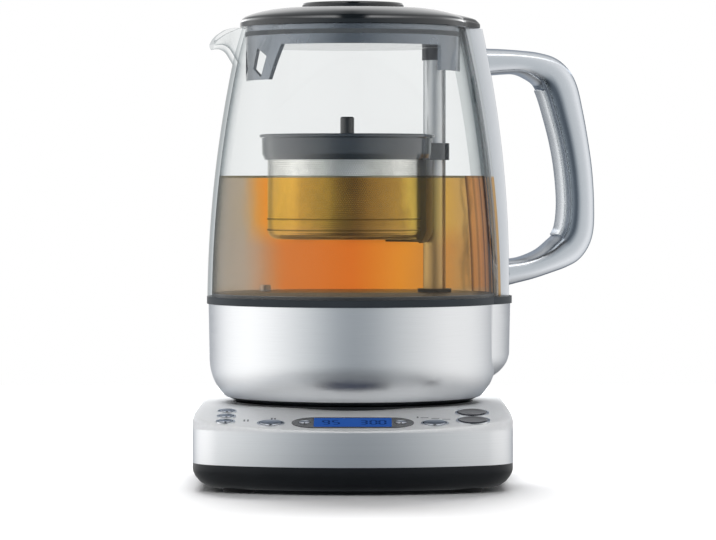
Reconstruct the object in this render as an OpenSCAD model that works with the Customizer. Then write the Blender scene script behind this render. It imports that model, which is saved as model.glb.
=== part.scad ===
// Automatic tea maker: a cordless glass jug with a steel foot, a motor-lifted tea basket on a
// post, a lift-off lid and a control base with nine push buttons. Millimetres.
// The origin is on the table under the jug's axis; -Y is the front with the controls, +Z is up.

/* [Base] */
// Width of the base, side to side
base_w = 164; // [156:1:176]
// Distance from the jug's axis to the back of the base
base_back = 85; // [80:1:94]
// Distance from the jug's axis to the middle of the bowed front
base_front = 111; // [108:1:120]
// Radius of the bowed front, in plan
front_bow_r = 145; // [138:1:190]
// Radius of the two front corners, in plan
front_corner_r = 26; // [18:1:30]
// Radius of the two back corners, in plan
back_corner_r = 34; // [24:1:44]
// Height of the feet and of the hub under the base
foot_h = 2; // [1.6:0.2:4]
// Diameter of each rubber foot
foot_d = 16; // [12:1:20]
// Diameter of the hub under the base, which the base also stands on
hub_d = 60; // [40:2:80]
// Height of the dark bottom cover
cover_h = 12.5; // [10:0.5:16]
// How far the bottom cover draws in at its lower edge
cover_draw = 10; // [4:1:14]
// Height of the brushed band round the base
band_h = 17.5; // [15:0.5:24]
// Thickness of the band's sheet
band_t = 0.8; // [0.6:0.1:1.2]
// Height of the deck above the band, at the back
deck_h = 9.3; // [8.5:0.1:13]
// Height of the deck above the band, at the front edge
deck_lip_h = 0.9; // [0.8:0.1:2]
// Distance from the jug's axis to the line where the panel starts to slope
panel_start = 57; // [54:1:60]
// Rounding of the deck's edge at the sides and the back
deck_edge_r = 5; // [3:0.5:6]
// Wall of the base's plastic shells
shell_t = 2.4; // [2:0.1:3]
// Diameter of the round platform under the jug
platform_d = 127; // [124:1:130]
// How far the platform stands above the deck
platform_rise = 0.7; // [0.2:0.1:1]
// Diameter of the base's round connector
connector_d = 36; // [30:1:40]
// Height of the connector above the platform
connector_h = 8; // [6:0.5:10]
// Diameter of the connector's earth pin
earth_pin_d = 7; // [5:0.5:8]

/* [Controls] */
// Travel of a push button
button_travel = 0.8; // [0.4:0.1:1.2]
// How far a button stands above its surround
button_proud = 0.9; // [0.4:0.1:1.4]
// Gap round a button's cap
button_gap = 0.25; // [0.15:0.05:0.4]
// Width of the bright ring round a button
bezel_w = 1.2; // [0.8:0.1:1.5]
// Diameter of the three small buttons at the left
small_button_d = 7.4; // [6:0.1:7.8]
// Distance of the small buttons from the base's side
small_button_in = 17.5; // [16:0.5:20]
// Distance from the jug's axis to the middle small button
small_button_y = 77.4; // [77:0.1:78]
// Spacing of the small buttons
small_button_pitch = 12; // [11:0.1:12.2]
// Diameter of the two middle-sized buttons
mid_button_d = 11.6; // [9:0.2:12.4]
// Distance of the middle-sized buttons from the base's side
mid_button_in = 40.5; // [39:0.5:41]
// Distance from the jug's axis to the middle-sized buttons
mid_button_y = 93.5; // [90:0.5:94]
// Diameter of the two main buttons at the right
main_button_d = 15; // [12:0.5:15.5]
// Distance of the main buttons from the base's side
main_button_in = 21; // [20:0.1:23]
// Distance from the jug's axis to the middle of the pair of main buttons
main_button_y = 78.3; // [78:0.1:79]
// Spacing of the main buttons
main_button_pitch = 17.8; // [17.6:0.1:18]
// Diameter of the two buttons at the ends of the display window
end_button_d = 5.8; // [5:0.2:7]
// Distance of the end buttons from the window's ends
end_button_in = 6.6; // [6:0.1:7]
// Distance from the window's end to the middle of the button beside it
lens_gap = 10.5; // [9:0.5:11]
// Width of the display window, along the slope
lens_w = 24; // [20:0.5:24]
// Thickness of the display window
lens_t = 1.2; // [0.8:0.1:1.4]
// Distance from the jug's axis to the middle of the display window
lens_y = 92; // [90:0.5:92]
// Distance from the middle of an end button to the visible screen
screen_gap = 5.4; // [5.4:0.1:9]
// Width of the visible screen
screen_w = 21; // [14:0.5:21]

/* [Jug] */
// Turn of the jug on its base: the handle's direction, from +X towards the back
jug_turn = 18; // [0:1:45]
// Height of the steel housing under the glass
housing_h = 51.5; // [48:0.5:60]
// Radius of the housing at its top
housing_r = 76.5; // [75.5:0.1:77]
// Thickness of the housing's sheet
housing_t = 1; // [0.8:0.1:1.4]
// Height of the dark ring that seals the glass to the housing
ring_h = 3.8; // [3:0.1:5]
// How far that ring stands out past the housing
ring_proud = 0.9; // [0.8:0.1:2]
// Radius of the lobe that carries the spine, at the housing's top
lobe_r = 54.2; // [53.5:0.1:55]
// How far the lobe stands out past the round housing
lobe_proud = 8.7; // [8.2:0.1:9.6]
// Height of the glass
glass_h = 142; // [138:1:150]
// How far the glass at its widest stands out past the housing
glass_proud = 0.7; // [0:0.1:0.8]
// Outer radius of the glass at its rim
rim_r = 59.5; // [58.5:0.1:60.5]
// Thickness of the glass
glass_t = 2.4; // [2:0.1:3]
// Thickness of the steel floor in the jug
floor_t = 1.6; // [1:0.1:2.5]

/* [Handle] */
// Width of the spine and of its liner
spine_w = 30; // [26:1:34]
// How far the spine's foot stands out past the housing
spine_proud = 7.6; // [7.2:0.1:8.1]
// How far the spine's top stands out past the glass's rim
spine_top_proud = 9.5; // [9:0.1:10.5]
// Thickness of the spine's sheet
spine_t = 1.6; // [1.2:0.1:2]
// Thickness of the liner between glass and spine
liner_t = 2.2; // [1.5:0.1:2.6]
// Distance from the jug's axis to the middle of the grip
handle_reach = 126.4; // [122:0.2:132]
// Width of the handle
handle_w = 24; // [20:0.5:27]
// Width of the soft inlay on the inner side of the grip
inlay_w = 15; // [10:0.5:16]
// Wall of the hollow grip
handle_wall = 2.4; // [2:0.1:3]

/* [Post and basket] */
// Diameter of the post that the basket rides on
post_d = 11.9; // [11:0.1:12]
// Distance from the jug's axis to the post's axis
post_x = 45.7; // [45.4:0.1:46.2]
// Wall of the post's tube
post_wall = 0.6; // [0.5:0.1:0.8]
// Distance from the jug's axis to the basket's axis, away from the post
basket_x = 3.2; // [3:0.1:4]
// Outer radius of the basket's perforated wall
mesh_r = 42.2; // [41:0.1:42.4]
// Thickness of the perforated wall
mesh_t = 0.7; // [0.5:0.1:1]
// Height of the basket's underside above the jug's floor, at rest
basket_low = 28.6; // [26:0.2:32]
// Height of the basket, underside to top of rim
basket_h = 55.4; // [50:0.2:58]
// Height of the basket's rim
basket_rim_h = 13.5; // [12:0.5:15]
// Radius of the rim's lip
basket_lip_r = 46.6; // [46.2:0.1:47.5]
// Height of the collar that slides on the post
collar_h = 9; // [7:0.5:10]
// Wall of that collar
collar_t = 2; // [1.6:0.1:2.4]
// Running clearance of everything that slides or turns on a shaft
fit = 0.06; // [0.03:0.01:0.09]
// Diameter of the knob on the basket's lid
basket_knob_d = 7.4; // [5:0.1:10]
// Height of that knob
basket_knob_h = 9.2; // [6:0.2:11]

/* [Lid] */
// Height of the lid above the glass, without the grip
lid_h = 10.4; // [9:0.2:12]
// Radius of the grip disc on the lid
grip_r = 27; // [20:0.5:32]
// Height of the grip disc
grip_h = 4.2; // [3:0.2:7]
// Wall of the lid's parts
lid_wall = 1.8; // [1.4:0.1:2.4]
// Depth of the plug that reaches into the glass
plug_h = 10.2; // [8:0.2:12]
// Gap between the plug and the glass
plug_gap = 0.4; // [0.3:0.1:0.8]
// Depth of the strainer tab at the spout, below the rim
spout_tab_h = 28.3; // [22:0.5:32]
// Width of each of the two slots in that tab
strainer_slot_w = 10; // [4:0.5:11]
// Depth of the tab at the handle, below the rim
handle_tab_h = 23.3; // [18:0.5:28]

/* [Hidden] */
$fn = 96;
eps = 0.01;

// Radii of the jug that follow the housing's and the rim's
ring_r = housing_r + ring_proud;
glass_r = housing_r + glass_proud;
lobe_x = housing_r + lobe_proud - lobe_r;
spine_r = housing_r + spine_proud;
spine_top_r = rim_r + spine_top_proud;

// Levels, from the table up
band_z = foot_h + cover_h;
deck_foot_z = band_z + band_h;
deck_z = deck_foot_z + deck_h;
seat_z = deck_z + platform_rise;
ring_z = seat_z + housing_h;
glass_z = ring_z + ring_h;
rim_z = glass_z + glass_h;
floor_z = glass_z + floor_t;
basket_z = floor_z + basket_low;
basket_top_z = basket_z + basket_h;
basket_rim_z = basket_top_z - basket_rim_h;
lid_z = rim_z + lid_h;

// Base, in plan
bow_y = front_bow_r - base_front;
corner_x = base_w / 2 - front_corner_r;
bow_a = asin(corner_x / (front_bow_r - front_corner_r));
corner_y = bow_y - (front_bow_r - front_corner_r) * cos(bow_a);
panel_tilt = atan((deck_h - deck_lip_h) / (base_front - panel_start));
front_edge_r = deck_lip_h * 0.6;
small_button_x = base_w / 2 - small_button_in;
main_button_x = base_w / 2 - main_button_in;
mid_button_x = base_w / 2 - mid_button_in;
lens_l = 2 * (mid_button_x - lens_gap);
end_button_x = lens_l / 2 - end_button_in;
screen_l = 2 * (end_button_x - screen_gap);
screw_back = [base_w / 2 - 20, base_back - 37];
screw_front = [base_w / 2 - 14, -34];
screw_spots = [for (p = [screw_back, screw_front]) for (s = [-1, 1]) [s * p.x, p.y]];
foot_back = [base_w / 2 - 27, base_back - 23];
foot_front = [base_w / 2 - 24, 33 - base_front];
foot_spots = [for (p = [foot_back, foot_front]) for (s = [-1, 1]) [s * p.x, p.y]];
gland_r = 7;
gland_x = -38;
gland_bore_r = 3.5;
screw_r = 1.5;
screw_head_r = 3;
boss_r = 4.5;
board_t = 1.6;
main_board_l = 80;
main_board_w = 60;
main_board_z = foot_h + 6;
button_board_w = 45;
board_drop = 11;
switch_body = 6;
plunger_r = 1.6;
flange_t = 1;
contact_rings = [8, 12, 15.5];

// Jug
glass_belly_z = glass_z - 8;
spine_belly_z = glass_z + 9.7;
housing_corner = [18.3, 24];
lobe_corner = [26, 18];
lobe_foot_z = seat_z + 9.2;
housing_taper = 0.5;
housing_foot_z = seat_z + 2.6;
socket_gap = 0.6;
socket_wall = 4;
pin_h = connector_h + 6;
handle_top_z = rim_z - 17.3;
handle_foot_z = glass_z + 11.5;
screw_len = 9;
motor_r = 12;
motor_h = 30;
neck_r = 9;
screw_core_r = 2;
carrier_h = 12;
post_top_z = rim_z - plug_h - 1.6;
cap_wall = 0.75;
cap_h = 5;
lip_t = 1.6;
magnet_r = 1.9;
mesh_corner_r = 5;
cradle_t = 3;
cradle_a = 42;
collar_z = basket_rim_z;
magnet_y = post_d / 2 + collar_t + magnet_r - 1.3;
magnet_x = post_x + basket_x - 4.2;
cap_r = rim_r + 0.3;
plug_r = rim_r - glass_t - plug_gap;
grip_seat_z = lid_z - 1.6;
spreader_r = 34;
element_r = 26;
element_wire_r = 4.2;

// ---------- plan of the base ----------
// Right half of the outline, front middle to back corner, drawn in by inset
function half_outline(inset) = concat(
    [for (i = [0:6]) let (a = bow_a * i / 6, r = front_bow_r - inset)
        [r * sin(a), bow_y - r * cos(a)]],
    [for (i = [1:8]) let (a = bow_a + (90 - bow_a) * i / 8, r = front_corner_r - inset)
        [corner_x + r * sin(a), corner_y - r * cos(a)]],
    [[base_w / 2 - inset, -panel_start]],
    [for (i = [0:8]) let (a = 90 * i / 8, r = back_corner_r - inset)
        [base_w / 2 - back_corner_r + r * cos(a), base_back - back_corner_r + r * sin(a)]]);

// Whole outline, anticlockwise seen from above
function outline(inset) = let (h = half_outline(inset), n = len(h))
    concat(h, [for (i = [n - 1:-1:1]) [-h[i].x, h[i].y]]);

function deck_top(y) = y < -panel_start ? deck_z + (y + panel_start) * tan(panel_tilt) : deck_z;

// Rounding of the deck's edge: small along the front, full from the panel's start back
function edge_r(y) = y > -panel_start ? deck_edge_r
    : front_edge_r + (deck_edge_r - front_edge_r) * max(0, y + base_front) / (base_front - panel_start);

function level_ring(inset, z) = [for (p = outline(inset)) [p.x, p.y, z]];

// One ring of the deck's rounded edge: swing 0 is the side wall, 90 is the top
function deck_ring(wall, swing) = let (outer = outline(wall), inner = outline(wall + deck_edge_r))
    [for (i = [0:len(outer) - 1])
        let (e = max(0.2, edge_r(outer[i].y) - wall),
             p = outer[i] + (inner[i] - outer[i]) * (e / deck_edge_r) * (1 - cos(swing)))
        [p.x, p.y, deck_top(p.y) - wall - e * (1 - sin(swing))]];

// Closed skin over a stack of rings that are mirrored about the Y axis
module stack(rings) {
    n = len(rings[0]);
    m = len(rings);
    half = (n - 1) / 2;
    top = (m - 1) * n;
    polyhedron(
        points = [for (r = rings) for (p = r) p],
        faces = concat(
            [for (k = [0:m - 2]) for (i = [0:n - 1]) let (j = (i + 1) % n)
                [k * n + i, (k + 1) * n + i, (k + 1) * n + j, k * n + j]],
            [for (i = [0:half - 1]) i == 0 ? [0, 1, n - 1] : [i, i + 1, n - i - 1, n - i]],
            [for (i = [0:half - 1]) i == 0 ? [top, top + n - 1, top + 1]
                : [top + i, top + n - i, top + n - i - 1, top + i + 1]]),
        convexity = 4);
}

// Closed skin over a chain of flat rings, such as a bent bar's sections
module sweep(rings) {
    n = len(rings[0]);
    m = len(rings);
    polyhedron(
        points = [for (r = rings) for (p = r) p],
        faces = concat(
            [for (k = [0:m - 2]) for (i = [0:n - 1]) let (j = (i + 1) % n)
                [k * n + i, (k + 1) * n + i, (k + 1) * n + j, k * n + j]],
            [[for (i = [0:n - 1]) i]],
            [[for (i = [n - 1:-1:0]) (m - 1) * n + i]]),
        convexity = 6);
}

module slab(inset, z, h) {
    translate([0, 0, z]) linear_extrude(h) polygon(outline(inset));
}

module tube(r_out, r_in, z, h) {
    translate([0, 0, z]) difference() {
        cylinder(r = r_out, h = h);
        translate([0, 0, -1]) cylinder(r = r_in, h = h + 2);
    }
}

// Puts its children on the sloped panel, at x and a distance y in front of the jug's axis, Z
// along the panel's normal
module on_panel(x, y) {
    translate([x, -y, deck_top(-y)]) rotate([panel_tilt, 0, 0]) children();
}

// Puts its children in the jug's own frame, X towards the handle
module in_jug() {
    rotate([0, 0, jug_turn]) children();
}

module at_post() {
    in_jug() translate([post_x, 0, 0]) children();
}

module at_basket() {
    in_jug() translate([-basket_x, 0, 0]) children();
}

// ---------- base ----------
module base_bottom_cover() {
    color([0.09, 0.1, 0.11]) difference() {
        union() {
            difference() {
                stack([level_ring(cover_draw, foot_h), level_ring(0, foot_h + cover_h * 0.75),
                    level_ring(0, band_z)]);
                stack([level_ring(cover_draw + shell_t, foot_h + shell_t),
                    level_ring(shell_t, foot_h + cover_h * 0.75 + shell_t / 2),
                    level_ring(shell_t, band_z + 1)]);
            }
            cylinder(d = hub_d, h = foot_h + shell_t);
            for (p = screw_spots) translate([p.x, p.y, foot_h]) cylinder(r = boss_r, h = cover_h);
            for (x = [-1, 1] * (main_board_l / 2 - 8), y = [6, main_board_w - 6])
                translate([x, y, foot_h]) cylinder(r = 3, h = main_board_z - foot_h);
        }
        for (p = screw_spots) translate([p.x, p.y, 0]) {
            cylinder(r = screw_r + 0.3, h = band_z + 1);
            cylinder(r = screw_head_r + 0.5, h = foot_h + 4);
        }
        for (p = foot_spots) translate([p.x, p.y, 0]) cylinder(r = foot_d / 4, h = foot_h + 8);
    }
}

module base_feet() {
    color([0.05, 0.05, 0.05]) for (p = foot_spots) translate([p.x, p.y, 0]) {
        cylinder(d = foot_d, h = foot_h);
        cylinder(r = foot_d / 4, h = foot_h + shell_t);
    }
}

module base_screws() {
    color([0.6, 0.6, 0.62]) for (p = screw_spots) translate([p.x, p.y, foot_h + 2]) {
        cylinder(r = screw_head_r, h = 2);
        cylinder(r = screw_r, h = cover_h + 8);
    }
}

module base_band() {
    color([0.78, 0.79, 0.8]) difference() {
        slab(0, band_z, band_h);
        slab(band_t, band_z - 1, band_h + 2);
        gland_place() cylinder(r = gland_r, h = 3 * shell_t, center = true);
    }
}

// The cord's outlet at the back of the band, Z outwards
module gland_place() {
    translate([gland_x, base_back, band_z + band_h / 2]) rotate([-90, 0, 0]) children();
}

module cord_gland() {
    color([0.08, 0.08, 0.09]) gland_place() difference() {
        union() {
            translate([0, 0, -6]) cylinder(r = gland_r, h = 6);
            translate([0, 0, -band_t - 1.6]) cylinder(r = gland_r + 1.6, h = 1.6);
        }
        translate([0, 0, -7]) cylinder(r = gland_bore_r, h = 9);
    }
}

// The deck's outer or inner form
module deck_form(wall, foot) {
    stack([level_ring(wall, foot), deck_ring(wall, 0), deck_ring(wall, 30), deck_ring(wall, 60),
        deck_ring(wall, 90)]);
}

module stadium(l, w) {
    square([l - w, w], center = true);
    for (s = [-1, 1]) translate([s * (l - w) / 2, 0]) circle(d = w);
}

module base_deck() {
    color([0.72, 0.73, 0.75]) difference() {
        union() {
            difference() {
                deck_form(0, deck_foot_z);
                deck_form(shell_t, deck_foot_z - 1);
            }
            for (p = screw_spots) translate([p.x, p.y, band_z])
                cylinder(r = boss_r, h = deck_z - band_z - shell_t + 0.5);
        }
        cylinder(d = platform_d, h = deck_z + 1);
        for (p = screw_spots) translate([p.x, p.y, band_z - 1]) cylinder(r = screw_r, h = 14);
        for (b = ring_buttons) on_panel(b[0], b[1]) translate([0, 0, -6])
            cylinder(r = b[2] / 2 + bezel_w, h = 9);
        for (b = end_buttons) on_panel(b[0], b[1]) translate([0, 0, -6])
            cylinder(r = end_button_d / 2 + button_gap, h = 9);
        on_panel(0, lens_y) {
            translate([0, 0, -lens_t]) linear_extrude(5) stadium(lens_l, lens_w);
            translate([0, 0, -3]) cube([screen_l, screen_w, 8], center = true);
        }
    }
}

module base_platform() {
    color([0.1, 0.11, 0.12]) difference() {
        union() {
            translate([0, 0, seat_z - 3.5]) cylinder(d = platform_d, h = 3.5);
            for (a = [45:90:315]) rotate([0, 0, a]) translate([26, 0, foot_h + shell_t])
                cylinder(r = 4, h = seat_z - foot_h - shell_t - 2);
        }
        translate([0, 0, foot_h]) cylinder(d = connector_d, h = seat_z);
    }
}

module base_connector() {
    color([0.07, 0.07, 0.08]) difference() {
        union() {
            translate([0, 0, seat_z - 10]) cylinder(d = connector_d, h = 10 + connector_h);
            translate([0, 0, seat_z - 10]) cylinder(d = connector_d - 12, h = 10);
            translate([0, 0, foot_h + shell_t]) cylinder(r = 9, h = seat_z - 10 - foot_h - shell_t);
        }
        for (r = contact_rings) tube(r + 0.7, r - 0.7, seat_z + connector_h - 5, 6);
        translate([0, 0, seat_z - 12]) cylinder(r = earth_pin_d / 2 + fit, h = 30);
    }
}

module connector_contacts() {
    color([0.8, 0.6, 0.3]) for (r = contact_rings) tube(r + 0.7, r - 0.7, seat_z + connector_h - 5, 2);
}

module earth_pin() {
    color([0.82, 0.78, 0.6]) translate([0, 0, seat_z - 12])
        cylinder(d = earth_pin_d, h = 12 + pin_h - 1);
}

module main_board() {
    color([0.1, 0.35, 0.2]) translate([0, 0, main_board_z]) difference() {
        union() {
            translate([-main_board_l / 2, 0, 0]) cube([main_board_l, main_board_w, board_t]);
            translate([-0.35 * main_board_l, main_board_w - 26, board_t]) cube([22, 18, 10]);
            translate([0.075 * main_board_l, main_board_w - 24, board_t]) cube([16, 14, 8]);
            translate([0.325 * main_board_l, main_board_w - 16, board_t]) cylinder(r = 5, h = 11);
        }
        translate([0, 0, -1]) cylinder(d = hub_d, h = 20);
    }
}

module button_board() {
    color([0.1, 0.35, 0.2]) intersection() {
        slab(shell_t + 3, foot_h, deck_z);
        on_panel(0, lens_y) translate([-base_w / 2, -16, -board_drop - board_t])
            cube([base_w, button_board_w, board_t]);
    }
}

// [x, distance from the jug's axis, diameter] of every button with a bright ring
ring_buttons = [
    [-small_button_x, small_button_y - small_button_pitch, small_button_d],
    [-small_button_x, small_button_y, small_button_d],
    [-small_button_x, small_button_y + small_button_pitch, small_button_d],
    [-mid_button_x, mid_button_y, mid_button_d],
    [mid_button_x, mid_button_y, mid_button_d],
    [main_button_x, main_button_y + main_button_pitch / 2, main_button_d],
    [main_button_x, main_button_y - main_button_pitch / 2, main_button_d]];
end_buttons = [[-end_button_x, lens_y, end_button_d], [end_button_x, lens_y, end_button_d]];

module tact_switches() {
    color([0.2, 0.2, 0.2]) for (b = concat(ring_buttons, end_buttons)) on_panel(b[0], b[1]) {
        translate([-switch_body / 2, -switch_body / 2, -board_drop])
            cube([switch_body, switch_body, 3]);
        translate([0, 0, -board_drop]) cylinder(r = plunger_r, h = 4);
    }
}

module button_bezels() {
    color([0.85, 0.86, 0.87]) for (b = ring_buttons) on_panel(b[0], b[1])
        tube(b[2] / 2 + bezel_w, b[2] / 2 + button_gap, -shell_t, shell_t + 0.5);
}

module push_button(b) {
    under = -shell_t - 0.2;
    cap_r = b[2] / 2;
    plunger_gap = button_travel + 0.1;
    color([0.8, 0.81, 0.82]) on_panel(b[0], b[1]) rotate_extrude() polygon([
        [0, -board_drop + 4 + plunger_gap], [2, -board_drop + 4 + plunger_gap], [2, under - flange_t],
        [cap_r + 0.9, under - flange_t], [cap_r + 0.9, under], [cap_r, under],
        [cap_r, button_proud - 0.5], [cap_r - 0.5, button_proud], [cap_r * 0.55, button_proud - 0.3],
        [0, button_proud - 0.4]]);
}

module button_keep_warm() { push_button(ring_buttons[0]); }
module button_temperature() { push_button(ring_buttons[1]); }
module button_time() { push_button(ring_buttons[2]); }
module button_basket() { push_button(ring_buttons[3]); }
module button_strength() { push_button(ring_buttons[4]); }
module button_water() { push_button(ring_buttons[5]); }
module button_tea() { push_button(ring_buttons[6]); }
module button_down() { push_button(end_buttons[0]); }
module button_up() { push_button(end_buttons[1]); }

module display_lens() {
    color([0.12, 0.14, 0.16]) on_panel(0, lens_y) difference() {
        translate([0, 0, -lens_t]) linear_extrude(lens_t + 0.3) stadium(lens_l - 0.2, lens_w - 0.2);
        for (s = [-1, 1]) translate([s * end_button_x, 0, -5])
            cylinder(r = end_button_d / 2 + button_gap, h = 10);
    }
}

module display_screen() {
    color([0.15, 0.3, 0.6]) on_panel(0, lens_y) {
        translate([0, 0, -lens_t - 1.2]) cube([screen_l - 0.4, screen_w - 0.4, 2.4], center = true);
        translate([0, 0, -board_drop / 2 - lens_t / 2 - 1.2])
            cube([screen_l - 4, screen_w - 4, board_drop - lens_t - 2.4], center = true);
    }
}

// ---------- jug ----------
function glass_radius(z) = glass_r
    - (glass_r - rim_r) * pow((z - glass_belly_z) / (rim_z - glass_belly_z), 2);
function spine_radius(z) = spine_r
    - (spine_r - spine_top_r) * pow(max(0, z - spine_belly_z) / (rim_z - spine_belly_z), 2);

// Solid of revolution under the glass's outer face, drawn in by inset, between two heights
module glass_form(inset, z0, z1) {
    steps = 18;
    rotate_extrude() polygon(concat([[0, z0]],
        [for (i = [0:steps]) let (z = z0 + (z1 - z0) * i / steps) [glass_radius(z) - inset, z]],
        [[0, z1]]));
}

module spine_form(inset, z0, z1) {
    steps = 14;
    rotate_extrude() polygon(concat([[0, z0]],
        [for (i = [0:steps]) let (z = z0 + (z1 - z0) * i / steps) [spine_radius(z) - inset, z]],
        [[0, z1]]));
}

// Sections of the spout: [distance out from the rim, half width, underside, top edge], the last
// two measured down from the rim
spout_sections = [[-9.5, 27, 33, 0], [-0.5, 24, 27, 0], [4, 20, 22.5, 0.8], [7, 16.5, 18, 1.6],
    [9.5, 13.8, 14.6, 2.8], [12.9, 10.5, 12.5, 4.6], [15.9, 7.6, 12.2, 7], [18.2, 4.4, 12.6, 9.8]];

function spout_ring(s, wall) = let (steps = 12)
    [for (i = [0:steps]) let (a = 180 + 180 * i / steps, w = max(0.6, s[1] - wall),
        low = -s[2] + wall, top = -s[3])
        [-rim_r - s[0], -w * cos(a), rim_z + top + (top - low) * sin(a)]];

// The channel's free space, from inside the jug to just short of the tip and open at the top
module spout_channel() {
    sweep([for (s = spout_sections) let (q = spout_ring(s, glass_t), n = len(q) - 1)
        concat([[q[0].x, q[0].y, rim_z + 6]], q, [[q[n].x, q[n].y, rim_z + 6]])]);
}

module jug_glass() {
    color([0.8, 0.86, 0.88, 0.35]) in_jug() difference() {
        union() {
            glass_form(0, glass_z, rim_z);
            sweep([for (s = spout_sections) spout_ring(s, 0)]);
        }
        glass_form(glass_t, glass_z - eps, rim_z + eps);
        translate([2, 0, 0]) spout_channel();
    }
}

module lobe(r) {
    translate([lobe_x, 0]) circle(r);
}

module jug_ring() {
    color([0.14, 0.16, 0.18]) in_jug() translate([0, 0, ring_z]) difference() {
        linear_extrude(ring_h) union() {
            circle(ring_r);
            lobe(lobe_r + ring_r - housing_r);
        }
        translate([0, 0, -1]) cylinder(r = housing_r - 5.5, h = ring_h + 2);
    }
}

// Solid under a housing face: straight with a little taper, then a rounded foot
module housing_form(r, corner, inset, corner_z, floor_at) {
    low = r - housing_taper;
    a_end = asin((corner_z - floor_at) / (corner.y - inset));
    steps = 9;
    rotate_extrude() polygon(concat([[0, ring_z], [r - inset, ring_z]],
        [for (i = [0:steps]) let (a = a_end * i / steps)
            [low - corner.x + (corner.x - inset) * cos(a), corner_z - (corner.y - inset) * sin(a)]],
        [[0, floor_at]]));
}

module housing_solid(inset) {
    housing_form(housing_r, housing_corner, inset, seat_z + housing_corner.y - 1, housing_foot_z);
    translate([lobe_x, 0, 0])
        housing_form(lobe_r, lobe_corner, inset, lobe_foot_z + lobe_corner.y - 1.2, lobe_foot_z);
}

module jug_housing() {
    color([0.76, 0.77, 0.79]) in_jug() difference() {
        housing_solid(0);
        housing_solid(housing_t);
        translate([0, 0, ring_z - 1]) linear_extrude(2) union() {
            circle(housing_r - housing_t);
            lobe(lobe_r - housing_t);
        }
    }
}

module jug_floor() {
    color([0.7, 0.71, 0.73]) difference() {
        translate([0, 0, glass_z]) cylinder(r = glass_radius(glass_z) - glass_t - 0.15, h = floor_t);
        at_post() cylinder(d = post_d, h = rim_z);
        sensor_place() cylinder(r = 3, h = rim_z);
    }
}

module sensor_place() {
    in_jug() translate([-36, 42, 0]) children();
}

module temperature_sensor() {
    color([0.6, 0.6, 0.6]) sensor_place() translate([0, 0, glass_z - 10]) {
        cylinder(r = 3, h = 10 + floor_t + 3.5);
        cylinder(r = 5, h = 10);
    }
}

module heat_spreader() {
    color([0.75, 0.75, 0.76]) translate([0, 0, glass_z - 3]) cylinder(r = spreader_r, h = 3);
}

module heating_element() {
    color([0.35, 0.33, 0.32]) translate([0, 0, glass_z - 3 - element_wire_r]) {
        rotate([0, 0, 20]) rotate_extrude(angle = 320) translate([element_r, 0])
            circle(element_wire_r, $fn = 32);
        for (a = [20, 340]) rotate([0, 0, a]) translate([element_r, 0, -16]) cylinder(r = 2.2, h = 16);
    }
}

module jug_bottom_cover() {
    in_r = connector_d / 2 + socket_gap + socket_wall;
    edge_r = housing_r - housing_taper - housing_corner.x * 0.5;
    color([0.06, 0.07, 0.08]) rotate_extrude() polygon([[in_r, seat_z], [edge_r - 5.5, seat_z],
        [edge_r, housing_foot_z], [edge_r - 1.6, housing_foot_z],
        [edge_r - 1.6, housing_foot_z + 2], [edge_r - 8, seat_z + 3],
        [in_r + 2.4, seat_z + 3], [in_r + 2.4, seat_z + 8], [in_r, seat_z + 8]]);
}

module jug_socket() {
    in_r = connector_d / 2 + socket_gap;
    roof = seat_z + connector_h + 0.6;
    color([0.12, 0.12, 0.13]) difference() {
        translate([0, 0, seat_z]) cylinder(r = in_r + socket_wall, h = pin_h + 6);
        translate([0, 0, seat_z - 1]) cylinder(r = in_r, h = roof - seat_z + 1);
        translate([0, 0, seat_z - 1]) cylinder(r = earth_pin_d / 2 + 0.3, h = pin_h + 1);
    }
}

// ---------- spine and handle ----------
module spine_slab(w, z0, z1) {
    translate([40, -w / 2, z0]) cube([60, w, z1 - z0]);
}

module spine_liner() {
    top = rim_z - 0.2;
    color([0.2, 0.23, 0.26]) in_jug() intersection() {
        difference() {
            glass_form(-liner_t, glass_z, top);
            glass_form(-0.05, glass_z - 1, top + 1);
        }
        spine_slab(spine_w, glass_z, top);
    }
}

module spine() {
    top = rim_z - 0.2;
    color([0.8, 0.81, 0.83]) in_jug() difference() {
        intersection() {
            spine_form(0, glass_z, top);
            spine_slab(spine_w, glass_z, top);
        }
        glass_form(-liner_t, glass_z - 1, top + 1);
        intersection() {
            spine_form(spine_t, glass_z - 1, top - spine_t);
            spine_slab(spine_w - 2 * spine_t, glass_z - 1, top - spine_t);
        }
        for (z = [handle_top_z, handle_foot_z]) translate([60, 0, z]) rotate([0, 90, 0])
            cylinder(r = screw_r, h = 40);
    }
}

// Middle line of the handle: [share of the reach, share of the height, thickness]
handle_points = [[-0.09, 0.995, 15.4], [0.17, 1, 13.8], [0.37, 0.998, 13], [0.54, 0.98, 15.4],
    [0.69, 0.945, 18.4], [0.79, 0.878, 20], [0.864, 0.76, 19.2], [0.93, 0.624, 18],
    [0.978, 0.483, 17.6], [1, 0.33, 17.5], [0.982, 0.205, 18.6], [0.91, 0.133, 18.6],
    [0.8, 0.093, 17], [0.65, 0.056, 14], [0.47, 0.026, 13], [0.31, 0.01, 13.4], [0.1, -0.005, 15.4]];
root_r = spine_radius(handle_top_z);

function curve(a, b, c, d, t) = 0.5 * (2 * b + (c - a) * t + (2 * a - 5 * b + 4 * c - d) * t * t
    + (3 * b - a - 3 * c + d) * t * t * t);

// Point of the middle line at u, which counts handle_points
function handle_at(u) = let (n = len(handle_points) - 1, i = min(n - 1, floor(u)), t = u - i,
    p = [for (k = [-1:2]) handle_points[min(n, max(0, i + k))]],
    q = curve(p[0], p[1], p[2], p[3], t))
    [root_r + q[0] * (handle_reach - root_r), handle_foot_z + q[1] * (handle_top_z - handle_foot_z),
        q[2]];

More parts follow.
